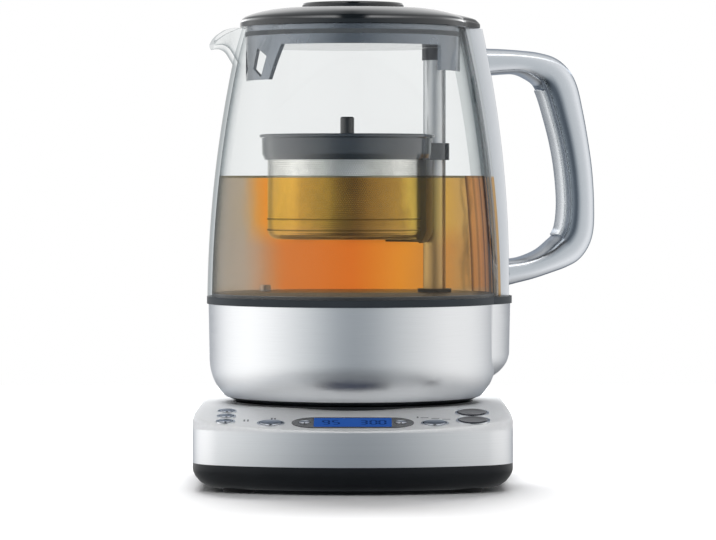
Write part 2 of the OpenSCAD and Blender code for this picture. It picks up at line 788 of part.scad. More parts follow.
// Rounded section of the handle at u: half thickness a, half width b, moved inwards by shift
function handle_ring(u, a, b, shift, power) =
    let (c = handle_at(u), d = handle_at(u + 0.02) - handle_at(u - 0.02),
        l = sqrt(d[0] * d[0] + d[1] * d[1]), nx = d[1] / l, nz = -d[0] / l, n = 16)
    [for (i = [0:n - 1]) let (t = 360 * i / n, cs = cos(t), sn = sin(t),
        x = a * sign(cs) * pow(abs(cs), power) + shift, y = b * sign(sn) * pow(abs(sn), power))
        [c[0] + nx * x, y, c[1] + nz * x]];

handle_n = len(handle_points) - 1;
grip_start = 4.3;
grip_end = 11.4;
inlay_t = 4.5;
inlay_proud = 0.8;

function grip_steps(a, b, n) = [for (i = [0:n]) a + (b - a) * i / n];

module handle_bar(inset, from, to, n) {
    sweep([for (u = grip_steps(from, to, n))
        handle_ring(u, handle_at(u)[2] / 2 - inset, handle_w / 2 - inset, 0, 0.85)]);
}

module inlay_form() {
    sweep([for (u = grip_steps(grip_start, grip_end, 20))
        let (end = min(u - grip_start, grip_end - u), w = inlay_w / 2 * min(1, 0.45 + end))
        handle_ring(u, inlay_t / 2, w, handle_at(u)[2] / 2 + inlay_proud - inlay_t / 2, 0.45)]);
}

module handle_shell() {
    color([0.78, 0.79, 0.81]) in_jug() difference() {
        handle_bar(0, 0, handle_n, 40);
        handle_bar(handle_wall, grip_start + 0.2, grip_end - 0.2, 12);
        inlay_form();
        spine_form(0, glass_z, rim_z);
        for (z = [handle_top_z, handle_foot_z]) translate([60, 0, z]) rotate([0, 90, 0])
            cylinder(r = screw_r, h = spine_radius(z) - 60 + screw_len);
    }
}

module handle_inlay() {
    color([0.7, 0.72, 0.75]) in_jug() inlay_form();
}

module handle_screws() {
    color([0.6, 0.6, 0.62]) in_jug() for (z = [handle_top_z, handle_foot_z])
        translate([spine_radius(z) - spine_t - 2.5, 0, z]) rotate([0, 90, 0]) {
            cylinder(r = screw_r, h = screw_len);
            cylinder(r = screw_head_r, h = 1.6);
        }
}

// ---------- post and lift ----------
module post_tube() {
    foot = ring_z - 5;
    color([0.85, 0.86, 0.87]) at_post()
        tube(post_d / 2, post_d / 2 - post_wall, foot, post_top_z - foot);
}

module post_seal() {
    color([0.15, 0.15, 0.16]) at_post() tube(post_d / 2 + 3, post_d / 2, floor_z, 2);
}

module post_cap() {
    color([0.3, 0.32, 0.35]) at_post() difference() {
        translate([0, 0, post_top_z - cap_h]) cylinder(r = post_d / 2 + cap_wall, h = cap_h + 1.4);
        translate([0, 0, post_top_z - cap_h - 1]) cylinder(d = post_d, h = cap_h + 1);
        translate([0, 0, post_top_z - 1]) cylinder(r = screw_core_r + fit, h = 1.8);
    }
}

module lift_motor() {
    color([0.45, 0.46, 0.48]) at_post() difference() {
        union() {
            translate([0, 0, ring_z - 5 - motor_h]) cylinder(r = motor_r, h = motor_h);
            translate([0, 0, ring_z - 5 - eps]) cylinder(r = neck_r, h = 5 + ring_h + eps);
        }
        translate([0, 0, ring_z - 5]) cylinder(d = post_d, h = 20);
        translate([0, 0, ring_z - 17]) cylinder(r = screw_core_r + fit, h = 20);
    }
}

module lift_screw() {
    color([0.7, 0.68, 0.6]) at_post() translate([0, 0, ring_z - 16])
        cylinder(r = screw_core_r, h = post_top_z + 0.6 - ring_z + 16);
}

module magnet_carrier() {
    color([0.5, 0.5, 0.52]) at_post()
        tube(post_d / 2 - post_wall - fit, screw_core_r + fit,
            collar_z + (collar_h - carrier_h) / 2, carrier_h);
}

// ---------- basket ----------
// Everything that has to stay clear of the sliding post
module post_bore(clear) {
    translate([post_x + basket_x, 0, 0]) cylinder(r = post_d / 2 + clear, h = rim_z);
}

module basket_rim() {
    wall_r = basket_lip_r - 1.2;
    color([0.28, 0.3, 0.33]) at_basket() difference() {
        union() {
            rotate_extrude() polygon([[0, basket_rim_z], [wall_r - 1.6, basket_rim_z],
                [wall_r - 0.2, basket_rim_z + 3], [wall_r, basket_top_z - lip_t - 0.6],
                [basket_lip_r, basket_top_z - lip_t], [basket_lip_r, basket_top_z - 0.4],
                [basket_lip_r - 0.4, basket_top_z], [0, basket_top_z]]);
            translate([post_x + basket_x, 0, collar_z])
                cylinder(r = post_d / 2 + collar_t, h = collar_h);
            translate([mesh_r - 8, -magnet_y - 3, collar_z])
                cube([magnet_x + magnet_r + 1 - mesh_r + 8, 2 * magnet_y + 6, collar_h]);
        }
        translate([0, 0, basket_rim_z - 1]) cylinder(r = mesh_r, h = basket_rim_h + 2);
        post_bore(fit);
        for (s = [-1, 1]) translate([magnet_x, s * magnet_y, collar_z + 1])
            cylinder(r = magnet_r, h = 7);
    }
}

module basket_magnets() {
    color([0.4, 0.4, 0.42]) at_basket() for (s = [-1, 1])
        translate([magnet_x, s * magnet_y, collar_z + 1]) cylinder(r = magnet_r, h = 7);
}

// Rounded foot of the pot's outline, moved out by t, between two angles
function pot_corner(t, from, step, to) = [for (a = [from:step:to])
    [mesh_r - mesh_corner_r + (mesh_corner_r + t) * sin(a),
        basket_z + mesh_corner_r - (mesh_corner_r + t) * cos(a)]];

// Outline of the basket's pot, drawn in by inset; its underside keeps the same rounding
module pot_form(inset, top) {
    rotate_extrude() polygon(concat([[0, basket_z + inset]], pot_corner(-inset, 0, 15, 90),
        [[mesh_r - inset, top], [0, top]]));
}

module basket_mesh() {
    color([0.7, 0.71, 0.72]) at_basket() difference() {
        pot_form(0, basket_top_z - 2);
        pot_form(mesh_t, basket_top_z + 1);
    }
}

module basket_cradle() {
    color([0.55, 0.57, 0.6]) at_basket() difference() {
        rotate([0, 0, -cradle_a]) rotate_extrude(angle = 2 * cradle_a)
            polygon(concat(pot_corner(cradle_t, 30, 15, 90),
                [[mesh_r + cradle_t, basket_rim_z], [mesh_r, basket_rim_z]],
                pot_corner(0, 90, -15, 30)));
        post_bore(0.8);
    }
}

module basket_lid() {
    low = basket_top_z - 2;
    color([0.6, 0.62, 0.64]) at_basket() difference() {
        rotate_extrude() polygon([[0, low + 0.9], [mesh_r - 8, low + 0.9], [mesh_r - 4, low],
            [mesh_r - 0.3, low], [mesh_r - 0.3, low + 1.2], [mesh_r - 4, low + 1.2],
            [mesh_r - 8, low + 2.1], [0, low + 2.1]]);
        cylinder(r = 1.5, h = rim_z);
    }
}

module basket_knob() {
    low = basket_top_z + 0.1;
    r = basket_knob_d / 2;
    high = low + basket_knob_h;
    color([0.06, 0.06, 0.07]) at_basket() rotate_extrude() polygon([[0, low - 1.2], [1.5, low - 1.2],
        [1.5, low], [r, low], [r, high - 0.6], [r - 0.6, high], [0, high]]);
}

// ---------- lid ----------
module lid_cap() {
    color([0.2, 0.23, 0.26]) in_jug() difference() {
        union() {
            rotate_extrude() polygon([[0, rim_z], [cap_r, rim_z], [cap_r, rim_z + 3],
                [cap_r - 0.4, rim_z + 4.2], [cap_r - 1.4, rim_z + 5.2], [cap_r - 4, lid_z - 4.2],
                [cap_r - 7, lid_z - 3.2], [cap_r - 12, lid_z - 2.1], [cap_r - 20, lid_z - 0.7],
                [grip_r + 1, lid_z], [0, lid_z]]);
            translate([0, spine_w / 2, 0]) rotate([90, 0, 0]) linear_extrude(spine_w) polygon([
                [cap_r - 16, lid_z - 4], [cap_r - 14, lid_z - 2.2], [cap_r - 6, lid_z - 4],
                [cap_r + 0.2, lid_z - 5.8], [spine_top_r - 4, lid_z - 7.6],
                [spine_top_r - 1, rim_z + 1], [spine_top_r - 1, rim_z], [cap_r - 10, rim_z]]);
        }
        translate([0, 0, grip_seat_z]) cylinder(r = grip_r + 0.2, h = 10);
        rotate_extrude() polygon([[0, rim_z - 1], [plug_r, rim_z - 1], [plug_r, rim_z + 2.4],
            [cap_r - 7, lid_z - 5.6], [cap_r - 20, lid_z - 3.6], [0, lid_z - 3.6]]);
    }
}

module lid_grip() {
    r = grip_r;
    color([0.16, 0.18, 0.2]) rotate_extrude() polygon([[0, grip_seat_z], [r - 1, grip_seat_z],
        [r, grip_seat_z + 1.4], [r, grip_seat_z + grip_h - 0.8], [r - 1, grip_seat_z + grip_h],
        [r * 0.5, grip_seat_z + grip_h + 0.3], [0, grip_seat_z + grip_h + 0.4]]);
}

// Piece of the plug's wall round a direction, with slanted ends: half angle at foot and top
module tab(mid, foot_a, top_a, depth) {
    top = rim_z - plug_h + lid_wall / 2;
    intersection() {
        tube(plug_r, plug_r - lid_wall, rim_z - depth, top - rim_z + depth);
        rotate([90, 0, mid + 90]) linear_extrude(plug_r + 10) polygon([
            [-plug_r * sin(foot_a), rim_z - depth - 1], [plug_r * sin(foot_a), rim_z - depth - 1],
            [plug_r * sin(top_a), top + 1], [-plug_r * sin(top_a), top + 1]]);
    }
}

module lid_plug() {
    color([0.42, 0.45, 0.48]) in_jug() difference() {
        union() {
            difference() {
                translate([0, 0, rim_z - plug_h]) cylinder(r = plug_r, h = plug_h + 2.4);
                translate([0, 0, rim_z - plug_h + lid_wall])
                    cylinder(r = plug_r - lid_wall, h = plug_h + 2);
            }
            tab(180, 21, 32, spout_tab_h);
            tab(-36, 18, 18, handle_tab_h);
        }
        for (a = [-12.3, 12.3]) rotate([0, 0, 180 + a])
            translate([plug_r, 0, rim_z - (spout_tab_h + plug_h) / 2])
            rotate([-26 * sign(a), 0, 0])
            cube([12, strainer_slot_w, spout_tab_h - plug_h - 6], center = true);
        translate([0, 0, rim_z - 5]) tube(plug_r + 1, plug_r - 1, 0, 2.4);
    }
}

module lid_seal() {
    color([0.25, 0.27, 0.3]) translate([0, 0, rim_z - 5])
        tube(plug_r + plug_gap - 0.1, plug_r - 1, 0, 2.4);
}

base_bottom_cover();
base_feet();
base_screws();
base_band();
base_deck();
base_platform();
base_connector();
connector_contacts();
earth_pin();
cord_gland();
main_board();
button_board();
tact_switches();
button_bezels();
display_lens();
display_screen();
button_keep_warm();
button_temperature();
button_time();
button_basket();
button_strength();
button_down();
button_up();
button_water();
button_tea();
jug_glass();
jug_ring();
jug_housing();
jug_floor();
heat_spreader();
heating_element();
temperature_sensor();
jug_bottom_cover();
jug_socket();
handle_shell();
handle_inlay();
handle_screws();
spine();
spine_liner();
post_tube();
post_seal();
post_cap();
lift_motor();
lift_screw();
magnet_carrier();
basket_rim();
basket_mesh();
basket_cradle();
basket_magnets();
basket_lid();
basket_knob();
lid_cap();
lid_grip();
lid_plug();
lid_seal();
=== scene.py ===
import math
import bmesh
import bpy
from mathutils import Matrix, Vector


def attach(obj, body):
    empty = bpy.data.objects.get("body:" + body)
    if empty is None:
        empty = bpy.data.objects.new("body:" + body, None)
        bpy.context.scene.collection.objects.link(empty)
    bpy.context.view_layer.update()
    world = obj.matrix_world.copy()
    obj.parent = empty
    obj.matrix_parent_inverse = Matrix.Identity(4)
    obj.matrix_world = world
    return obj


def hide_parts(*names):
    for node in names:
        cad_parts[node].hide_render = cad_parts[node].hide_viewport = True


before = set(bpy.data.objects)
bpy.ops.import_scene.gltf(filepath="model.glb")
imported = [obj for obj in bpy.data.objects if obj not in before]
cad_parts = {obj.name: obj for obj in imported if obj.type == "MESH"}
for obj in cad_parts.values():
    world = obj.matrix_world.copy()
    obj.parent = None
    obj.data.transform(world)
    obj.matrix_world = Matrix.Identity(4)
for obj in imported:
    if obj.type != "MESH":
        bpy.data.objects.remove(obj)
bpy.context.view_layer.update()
MM = 0.001
scene = bpy.context.scene
scene.view_settings.view_transform = "Standard"

# ---------- camera, in metres and degrees ----------
EYE, LOOK_DOWN = (0.00265, -1.961, 0.1577), 1.3625
FOCAL_LENGTH, SENSOR_WIDTH = 186.03, 36.0
NEAREST, FURTHEST = 0.05, 100.0

cam_data = bpy.data.cameras.new("camera")
cam_data.lens = FOCAL_LENGTH
cam_data.sensor_width = SENSOR_WIDTH
cam_data.clip_start = NEAREST
cam_data.clip_end = FURTHEST
cam = bpy.data.objects.new("camera", cam_data)
scene.collection.objects.link(cam)
cam.location = EYE
cam.rotation_euler = (math.radians(90 - LOOK_DOWN), 0, 0)
scene.camera = cam

# ---------- sizes, in millimetres and degrees, as in the solids ----------
# the jug's handle points this far round from the right
TURN = 18.0
GLASS_Z, RIM_Z, FLOOR_Z, SEAT_Z, RING_Z = 97.3, 239.3, 98.9, 42.0, 93.5
GLASS_FOOT_R, GLASS_RIM_R, GLASS_BEND_Z = 77.2, 59.5, 89.3
SPINE_FOOT_R, SPINE_TOP_R, SPINE_BEND_Z = 84.1, 69.0, 107.0
WALL, TEA_Z = 2.4, 161.0
LID_Z = RIM_Z + 10.4
COVER_Z, BAND_Z, DECK_FOOT, DECK_Z = 2.0, 14.5, 32.0, 41.3
PANEL_START, BASE_FRONT, BASE_BACK, BASE_W = 57.0, 111.0, 85.0, 164.0
EDGE_R, FRONT_EDGE, SHELL = 5.0, 0.54, 2.4
PANEL_DROP, LENS_Y = 8.4, 92.0
TILT = math.atan(PANEL_DROP / (BASE_FRONT - PANEL_START))


def glass_r(z):
    """Outer radius of the glass at a height."""
    return GLASS_FOOT_R - (GLASS_FOOT_R - GLASS_RIM_R) * ((z - GLASS_BEND_Z) / (RIM_Z - GLASS_BEND_Z)) ** 2


def spine_r(z):
    """Outer radius of the spine at a height."""
    rise = max(0.0, z - SPINE_BEND_Z) / (RIM_Z - SPINE_BEND_Z)
    return SPINE_FOOT_R - (SPINE_FOOT_R - SPINE_TOP_R) * rise ** 2


def towards_handle(distance):
    """X and y of a place on the line from the jug's axis to its handle."""
    return distance * math.cos(math.radians(TURN)), distance * math.sin(math.radians(TURN))


BASKET, POST = towards_handle(-3.2), towards_handle(45.7)


# ---------- building ----------
def outwards(mesh):
    """Turns a mesh's faces outwards."""
    bm = bmesh.new()
    bm.from_mesh(mesh)
    bmesh.ops.recalc_face_normals(bm, faces=bm.faces)
    bm.to_mesh(mesh)
    bm.free()


def soften(mesh, angle):
    """Smooth faces; edges sharper than the angle stay hard."""
    for face in mesh.polygons:
        face.use_smooth = True
    mesh.set_sharp_from_angle(angle=math.radians(angle))


def put(name, verts, faces, mat, body, slot, smooth=35.0, turn=0.0, at=(0, 0, 0)):
    """Adds a finished piece: points in millimetres, shifted and then turned about Z."""
    mesh = bpy.data.meshes.new(name)
    rot = Matrix.Rotation(math.radians(turn), 3, "Z")
    mesh.from_pydata([tuple((rot @ (Vector(v) + Vector(at))) * MM) for v in verts], [], faces)
    mesh.validate()
    ob = bpy.data.objects.new(name, mesh)
    scene.collection.objects.link(ob)
    outwards(mesh)
    if smooth:
        soften(mesh, smooth)
    mesh.materials.append(mat)
    if body:
        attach(ob, body)
    return ob


def plain(name, verts, faces):
    """Bare form, ready to be cut or joined."""
    mesh = bpy.data.meshes.new(name)
    mesh.from_pydata([tuple(Vector(v) * MM) for v in verts], [], faces)
    ob = bpy.data.objects.new(name, mesh)
    scene.collection.objects.link(ob)
    outwards(mesh)
    return ob


def boolean(a, b, operation):
    """Combines form b into form a and removes b."""
    mod = a.modifiers.new("cut", "BOOLEAN")
    mod.operation = operation
    mod.solver = "EXACT"
    mod.object = b
    state = bpy.context.evaluated_depsgraph_get()
    new = bpy.data.meshes.new_from_object(a.evaluated_get(state))
    a.modifiers.clear()
    old = a.data
    a.data = new
    bpy.data.meshes.remove(old)
    bpy.data.objects.remove(b)
    return a


def cut(ob, data):
    boolean(ob, plain("cutter", *data), "DIFFERENCE")


def join(ob, data):
    boolean(ob, plain("addition", *data), "UNION")


def dress(ob, mat, body, node_name, smooth=30.0, turn=0.0):
    """Finishes a cut piece: its material, smooth faces, body and the solid that it replaces."""
    if turn:
        ob.data.transform(Matrix.Rotation(math.radians(turn), 4, "Z"))
    soften(ob.data, smooth)
    ob.data.materials.clear()
    ob.data.materials.append(mat)
    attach(ob, body)
    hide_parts(node_name)


def rings_data(rings, loop=False):
    """Verts and faces over equal rings: capped at both ends, or a loop from the last ring to the first."""
    n = len(rings[0])
    last = len(rings) - 1
    verts = [p for ring in rings for p in ring]
    faces = []
    for k in range(last + 1 if loop else last):
        m = (k + 1) % len(rings)
        for i in range(n):
            j = (i + 1) % n
            faces.append((k * n + i, k * n + j, m * n + j, m * n + i))
    if not loop:
        faces.append(tuple(range(n))[::-1])
        faces.append(tuple(last * n + i for i in range(n)))
    return verts, faces


def circle(n):
    """Angles round a circle."""
    return [2 * math.pi * k / n for k in range(n)]


def lathe_data(profile, segs=144, closed=False):
    """Verts and faces of a profile [(r, z)] turned about Z; closed joins its last point to its first."""
    rings = [[(r * math.cos(a), r * math.sin(a), z) for a in circle(segs)] for r, z in profile]
    return rings_data(rings, closed)


def lathe(name, profile, mat, body, slot, segs=144, closed=True, smooth=35.0, at=(0, 0)):
    return put(name, *lathe_data(profile, segs, closed), mat, body, slot, smooth, 0.0, (*at, 0))


def moved(data, dx, dy=0.0):
    """The same verts and faces, shifted sideways."""
    verts, faces = data
    return [(x + dx, y + dy, z) for x, y, z in verts], faces


def on_curve(rows, u):
    """Smooth curve through rows of numbers, at a place u counted in rows."""
    last = len(rows) - 1
    i = min(last - 1, max(0, math.floor(u)))
    q = u - i
    near = [rows[max(0, min(last, i + k))] for k in (-1, 0, 1, 2)]
    return [0.5 * (2 * b + (c - a) * q + (2 * a - 5 * b + 4 * c - d) * q * q
                   + (3 * b - a - 3 * c + d) * q ** 3) for a, b, c, d in zip(*near)]


# ---------- materials ----------
def tree(name):
    """New material, its node tree, its surface node and its output node."""
    m = bpy.data.materials.new(name)
    m.use_nodes = True
    t = m.node_tree
    surface = next(n for n in t.nodes if n.type == "BSDF_PRINCIPLED")
    out = next(n for n in t.nodes if n.type == "OUTPUT_MATERIAL")
    return m, t, surface, out


def give(t, n, values):
    """Sets or links inputs of a node, by name or by number; None leaves an input alone."""
    for key, v in values.items():
        if isinstance(v, bpy.types.NodeSocket):
            t.links.new(v, n.inputs[key])
        elif v is not None:
            n.inputs[key].default_value = v
    return n


def node(t, kind, **values):
    """New node: a value goes to the input of that name, or else to the setting of that name."""
    n = t.nodes.new(kind)
    for key, v in values.items():
        if key in n.inputs:
            give(t, n, {key: v})
        else:
            setattr(n, key, v)
    return n


def maths(t, op, a, b=None, clamp=False):
    n = node(t, "ShaderNodeMath", operation=op, use_clamp=clamp)
    return give(t, n, {0: a, 1: b}).outputs["Value"]


def vectors(t, op, a, b=None, result="Vector"):
    n = node(t, "ShaderNodeVectorMath", operation=op)
    return give(t, n, {0: a, 1: b}).outputs[result]


def split(t, vector):
    n = node(t, "ShaderNodeSeparateXYZ", Vector=vector)
    return n.outputs["X"], n.outputs["Y"], n.outputs["Z"]


def place(t):
    """Place in the shared frame, in metres."""
    return node(t, "ShaderNodeTexCoord").outputs["Object"]


def noise(t, vector, scale, detail=3.0, roughness=0.5):
    n = node(t, "ShaderNodeTexNoise", Vector=vector, Scale=scale, Detail=detail, Roughness=roughness)
    return n.outputs["Fac"]


def ramp(t, stops, source):
    """Colours, or plain numbers for greys, at places along a value."""
    r = node(t, "ShaderNodeValToRGB")
    while len(r.color_ramp.elements) < len(stops):
        r.color_ramp.elements.new(0.5)
    for e, (p, c) in zip(r.color_ramp.elements, stops):
        e.position = p
        e.color = (*c, 1) if isinstance(c, tuple) else (c, c, c, 1)
    t.links.new(source, r.inputs["Fac"])
    return r.outputs["Color"]


def step(t, value, start, span):
    """0 before start, 1 after the span; a negative span runs downwards."""
    return maths(t, "MULTIPLY", maths(t, "SUBTRACT", value, start), 1 / span, True)


def centred(t, value, span):
    """Runs from 0 to 1 over a span with 0 in its middle."""
    return maths(t, "ADD", maths(t, "MULTIPLY", value, 1 / span), 0.5)


def off_handle(t, x, y):
    """Distance sideways from the plane through the jug's axis and its handle."""
    a = math.radians(TURN)
    return maths(t, "SUBTRACT", maths(t, "MULTIPLY", y, math.cos(a)), maths(t, "MULTIPLY", x, math.sin(a)))


def mix_colour(t, share, a, b):
    n = node(t, "ShaderNodeMix", data_type="RGBA", Factor=share)
    for key, c in (("A", a), ("B", b)):
        give(t, n, {key: (*c, 1) if isinstance(c, tuple) else c})
    return n.outputs["Result"]


def mix_shader(t, share, a, b):
    return give(t, node(t, "ShaderNodeMixShader"), {0: share, 1: a, 2: b}).outputs["Shader"]


def add_shader(t, a, b):
    return give(t, node(t, "ShaderNodeAddShader"), {0: a, 1: b}).outputs["Shader"]


def bump(t, surface, height, strength, distance):
    n = node(t, "ShaderNodeBump", Strength=strength, Distance=distance, Height=height)
    t.links.new(n.outputs["Normal"], surface.inputs["Normal"])


def vary_colour(t, colour, vary, low, high, source):
    """A colour that varies by a share of itself between two levels of its source."""
    dark = tuple(c * (1 - vary) for c in colour)
    light = tuple(min(1, c * (1 + vary)) for c in colour)
    return ramp(t, [(low, dark), (high, light)], source)


def plastic(name, colour, rough=0.35, coat=0.0, grain=0.0, level=0.5, metallic=0.0):
    """Moulded plastic: faint colour mottling, varied roughness and a fine grain."""
    m, t, surface, _ = tree(name)
    at = place(t)
    mottle = noise(t, at, 45.0, 4.0)
    give(t, surface, {
        "Base Color": vary_colour(t, colour, 0.06, 0.35, 0.65, mottle),
        "Roughness": ramp(t, [(0.3, rough * 0.88), (0.7, min(1, rough * 1.12))], mottle),
        "Coat Weight": coat, "Coat Roughness": 0.05, "Coat IOR": 1.8,
        "Specular IOR Level": level, "Metallic": metallic})
    if grain > 0:
        bump(t, surface, noise(t, at, 1400.0, 2.0), grain, 0.00008)
    return m


def metal(name, colour, rough, scratch, scale, round_axis=False, vary=0.04, aniso=0.0, metallic=1.0):
    """Metal with drawn scratches: scale stretches them; round_axis runs them about the Z axis."""
    m, t, surface, _ = tree(name)
    at = place(t)
    if round_axis:
        x, y, z = split(t, at)
        angle = maths(t, "MULTIPLY", maths(t, "ARCTAN2", y, x), scale[0])
        vec = node(t, "ShaderNodeCombineXYZ", X=angle, Y=maths(t, "MULTIPLY", z, scale[2])).outputs["Vector"]
    else:
        vec = node(t, "ShaderNodeMapping", Vector=at, Scale=scale).outputs["Vector"]
    drawn = noise(t, vec, 1.0, 5.0, 0.65)
    give(t, surface, {
        "Base Color": vary_colour(t, colour, vary, 0.3, 0.7, drawn),
        "Roughness": ramp(t, [(0.3, rough * 0.85), (0.7, min(1, rough * 1.2))], drawn),
        "Specular Tint": (0.30, 0.34, 0.40, 1), "Anisotropic": aniso, "Metallic": metallic})
    if scratch > 0:
        bump(t, surface, drawn, scratch, 0.00003)
    return m


def handle_material(name):
    """Satin bar with painted shade: darker on its flank beside the inlay, the flank that faces front and to
    the left.
    """
    m = metal(name, (0.74, 0.77, 0.81), 0.22, 0.0, (60, 60, 60), False, 0.02)
    t = m.node_tree
    colour = next(n for n in t.nodes if n.type == "BSDF_PRINCIPLED").inputs["Base Color"]
    normal = node(t, "ShaderNodeNewGeometry").outputs["Normal"]
    flank = vectors(t, "DOT_PRODUCT", normal, (-0.64, -0.77, 0.0), "Value")
    # painted shade: the bar's colour is darkened where its face turns front and to the left
    painted_flank_shade = ramp(t, [(0.56, 1.0), (0.76, (0.36, 0.39, 0.42)), (0.95, (0.36, 0.39, 0.42)),
                     (1.0, (0.55, 0.58, 0.61))], flank)
    t.links.new(vectors(t, "MULTIPLY", colour.links[0].from_socket, painted_flank_shade), colour)
    return m


def sheen_off_angle(t, base, top, power=4.0):
    """Slant of the surface to the eye, and a mirror share that grows with it where it faces the eye."""
    slant = node(t, "ShaderNodeLayerWeight", Blend=0.5).outputs["Facing"]
    away = node(t, "ShaderNodeNewGeometry").outputs["Backfacing"]
    share = maths(t, "ADD", maths(t, "MULTIPLY", maths(t, "POWER", slant, power), top), base)
    return slant, maths(t, "MULTIPLY", share, maths(t, "SUBTRACT", 1.0, away), True)


def sheet(t, share, tint, rough):
    """Tinted see-through surface with a gloss on its share."""
    through = node(t, "ShaderNodeBsdfTransparent", Color=tint).outputs["BSDF"]
    gloss = node(t, "ShaderNodeBsdfGlossy", Roughness=rough).outputs["BSDF"]
    return mix_shader(t, share, through, gloss)


def clear(name, stops):
    """Clear sheet: a tint that deepens towards grazing edges, and a gloss."""
    m, t, surface, out = tree(name)
    t.nodes.remove(surface)
    slant, share = sheen_off_angle(t, 0.03, 0.5)
    give(t, out, {"Surface": sheet(t, share, ramp(t, stops, slant), 0.02)})
    return m


def tea_colour_and_painted_light(t, at):
    """Orange in the middle and browner towards the sides, greyer at the left edge with a painted view of the
    room bent through the tea; lighter above, at the basket's height, with painted highlights near the
    basket's sides and painted shade in its middle; a dark line on top.
    """
    x, y, z = split(t, at)
    wobble = maths(t, "MULTIPLY", maths(t, "SUBTRACT", noise(t, at, 38.0), 0.5), 0.012)
    share = centred(t, maths(t, "ADD", x, wobble), 0.16)
    # below the basket: the grey-beige at the left edge is a painted view of the room bent through the tea
    low = ramp(t, [(0.03, (0.60, 0.56, 0.50)), (0.14, (0.68, 0.60, 0.52)), (0.20, (0.74, 0.54, 0.39)),
                   (0.27, (0.85, 0.45, 0.18)), (0.50, (0.88, 0.43, 0.15)), (0.66, (0.91, 0.54, 0.15)),
                   (0.78, (0.80, 0.50, 0.20)), (0.862, (0.72, 0.52, 0.28)), (0.872, (0.46, 0.33, 0.17)),
                   (0.882, (0.72, 0.50, 0.26)), (0.97, (0.62, 0.42, 0.24))], share)
    # at the basket's height: painted highlights near the basket's sides and painted shade in its middle
    high = ramp(t, [(0.03, (0.58, 0.55, 0.50)), (0.14, (0.68, 0.60, 0.50)), (0.20, (0.92, 0.55, 0.15)),
                    (0.265, (0.98, 0.55, 0.08)), (0.33, (0.66, 0.36, 0.06)), (0.42, (0.84, 0.48, 0.08)),
                    (0.50, (0.61, 0.30, 0.07)), (0.58, (0.62, 0.33, 0.07)), (0.655, (0.56, 0.32, 0.06)),
                    (0.69, (0.98, 0.66, 0.12)), (0.72, (0.95, 0.66, 0.14)), (0.81, (0.80, 0.60, 0.26)),
                    (0.862, (0.76, 0.58, 0.32)), (0.872, (0.50, 0.38, 0.20)), (0.882, (0.74, 0.55, 0.30)),
                    (0.97, (0.64, 0.46, 0.27))], share)
    colour = mix_colour(t, step(t, z, 0.124, 0.012), low, high)
    foot = maths(t, "MULTIPLY", step(t, z, 0.1035, -0.002), maths(t, "LESS_THAN", y, 0.0))
    colour = mix_colour(t, foot, colour, (0.60, 0.52, 0.42))
    return mix_colour(t, maths(t, "GREATER_THAN", z, 0.1599), colour, (0.42, 0.38, 0.28))


def channel_streaks(t, at):
    """Where the channel at the handle shows through the far wall: a painted picture of it with its brown
    streaks, and a painted glow as if lit through the tea.
    """
    x, y, z = split(t, at)
    across = off_handle(t, x, y)
    colour = ramp(t, [(0.0, (0.90, 0.56, 0.26)), (0.08, (0.80, 0.48, 0.22)), (0.14, (0.10, 0.05, 0.02)),
                      (0.26, (0.12, 0.06, 0.03)), (0.34, (0.70, 0.40, 0.18)), (0.44, (0.78, 0.46, 0.21)),
                      (0.48, (0.18, 0.10, 0.05)), (0.53, (0.80, 0.46, 0.21)), (0.66, (1.0, 0.62, 0.30)),
                      (0.74, (0.60, 0.36, 0.17)), (0.80, (1.0, 0.64, 0.31)), (0.90, (1.0, 0.62, 0.30)),
                      (0.97, (0.30, 0.18, 0.08))], centred(t, across, 0.033))
    slope = split(t, node(t, "ShaderNodeNewGeometry").outputs["Normal"])[2]
    zone = maths(t, "MULTIPLY", maths(t, "GREATER_THAN", x, 0.03),
                 maths(t, "LESS_THAN", maths(t, "ABSOLUTE", across), 0.0165))
    zone = maths(t, "MULTIPLY", zone, maths(t, "LESS_THAN", maths(t, "ABSOLUTE", slope), 0.5))
    matt = node(t, "ShaderNodeBsdfDiffuse", Color=colour).outputs["BSDF"]
    # painted glow: the streaks shine though no lamp is there
    painted_glow = node(t, "ShaderNodeEmission", Strength=0.42, Color=colour).outputs["Emission"]
    return zone, add_shader(t, matt, painted_glow)


def tea_material(name):
    """Tea that lets the light through, with a painted, glowing picture of the channel's streaks behind it.
    """
    m, t, surface, out = tree(name)
    t.nodes.remove(surface)
    at = place(t)
    share = sheen_off_angle(t, 0.0, 0.15, 5.0)[1]
    zone, glowing_streaks = channel_streaks(t, at)
    give(t, out, {"Surface": mix_shader(t, zone, sheet(t, share, tea_colour_and_painted_light(t, at), 0.05), glowing_streaks)})
    return m


def sieve(name, colour, pitch, share, flat=False, rough=0.28):
    """Perforated sheet: round holes in a staggered grid about the basket's axis, open to the light."""
    m, t, surface, _ = tree(name)
    wall_r, row = 42.2 * MM, 1.732
    at = place(t)
    x, y, z = split(t, vectors(t, "SUBTRACT", at, (BASKET[0] * MM, BASKET[1] * MM, 0)))
    u, v = (x, y) if flat else (maths(t, "MULTIPLY", maths(t, "ARCTAN2", y, x), wall_r), z)
    holes = []
    for shift in (0.0, 0.5):
        cu = maths(t, "PINGPONG", maths(t, "ADD", maths(t, "DIVIDE", u, pitch * MM), shift), 0.5)
        cv = maths(t, "PINGPONG", maths(t, "ADD", maths(t, "DIVIDE", v, pitch * MM * row), shift), 0.5)
        cv = maths(t, "MULTIPLY", cv, row)
        away = maths(t, "SQRT", maths(t, "ADD", maths(t, "MULTIPLY", cu, cu), maths(t, "MULTIPLY", cv, cv)))
        holes.append(maths(t, "LESS_THAN", away, share))
    dull = tuple(c * 0.9 for c in colour)
    give(t, surface, {
        "Base Color": ramp(t, [(0.3, dull), (0.7, colour)], noise(t, at, 300.0)),
        "Alpha": maths(t, "SUBTRACT", 1.0, maths(t, "MAXIMUM", holes[0], holes[1])),
        "Metallic": 1.0, "Roughness": rough})
    return m


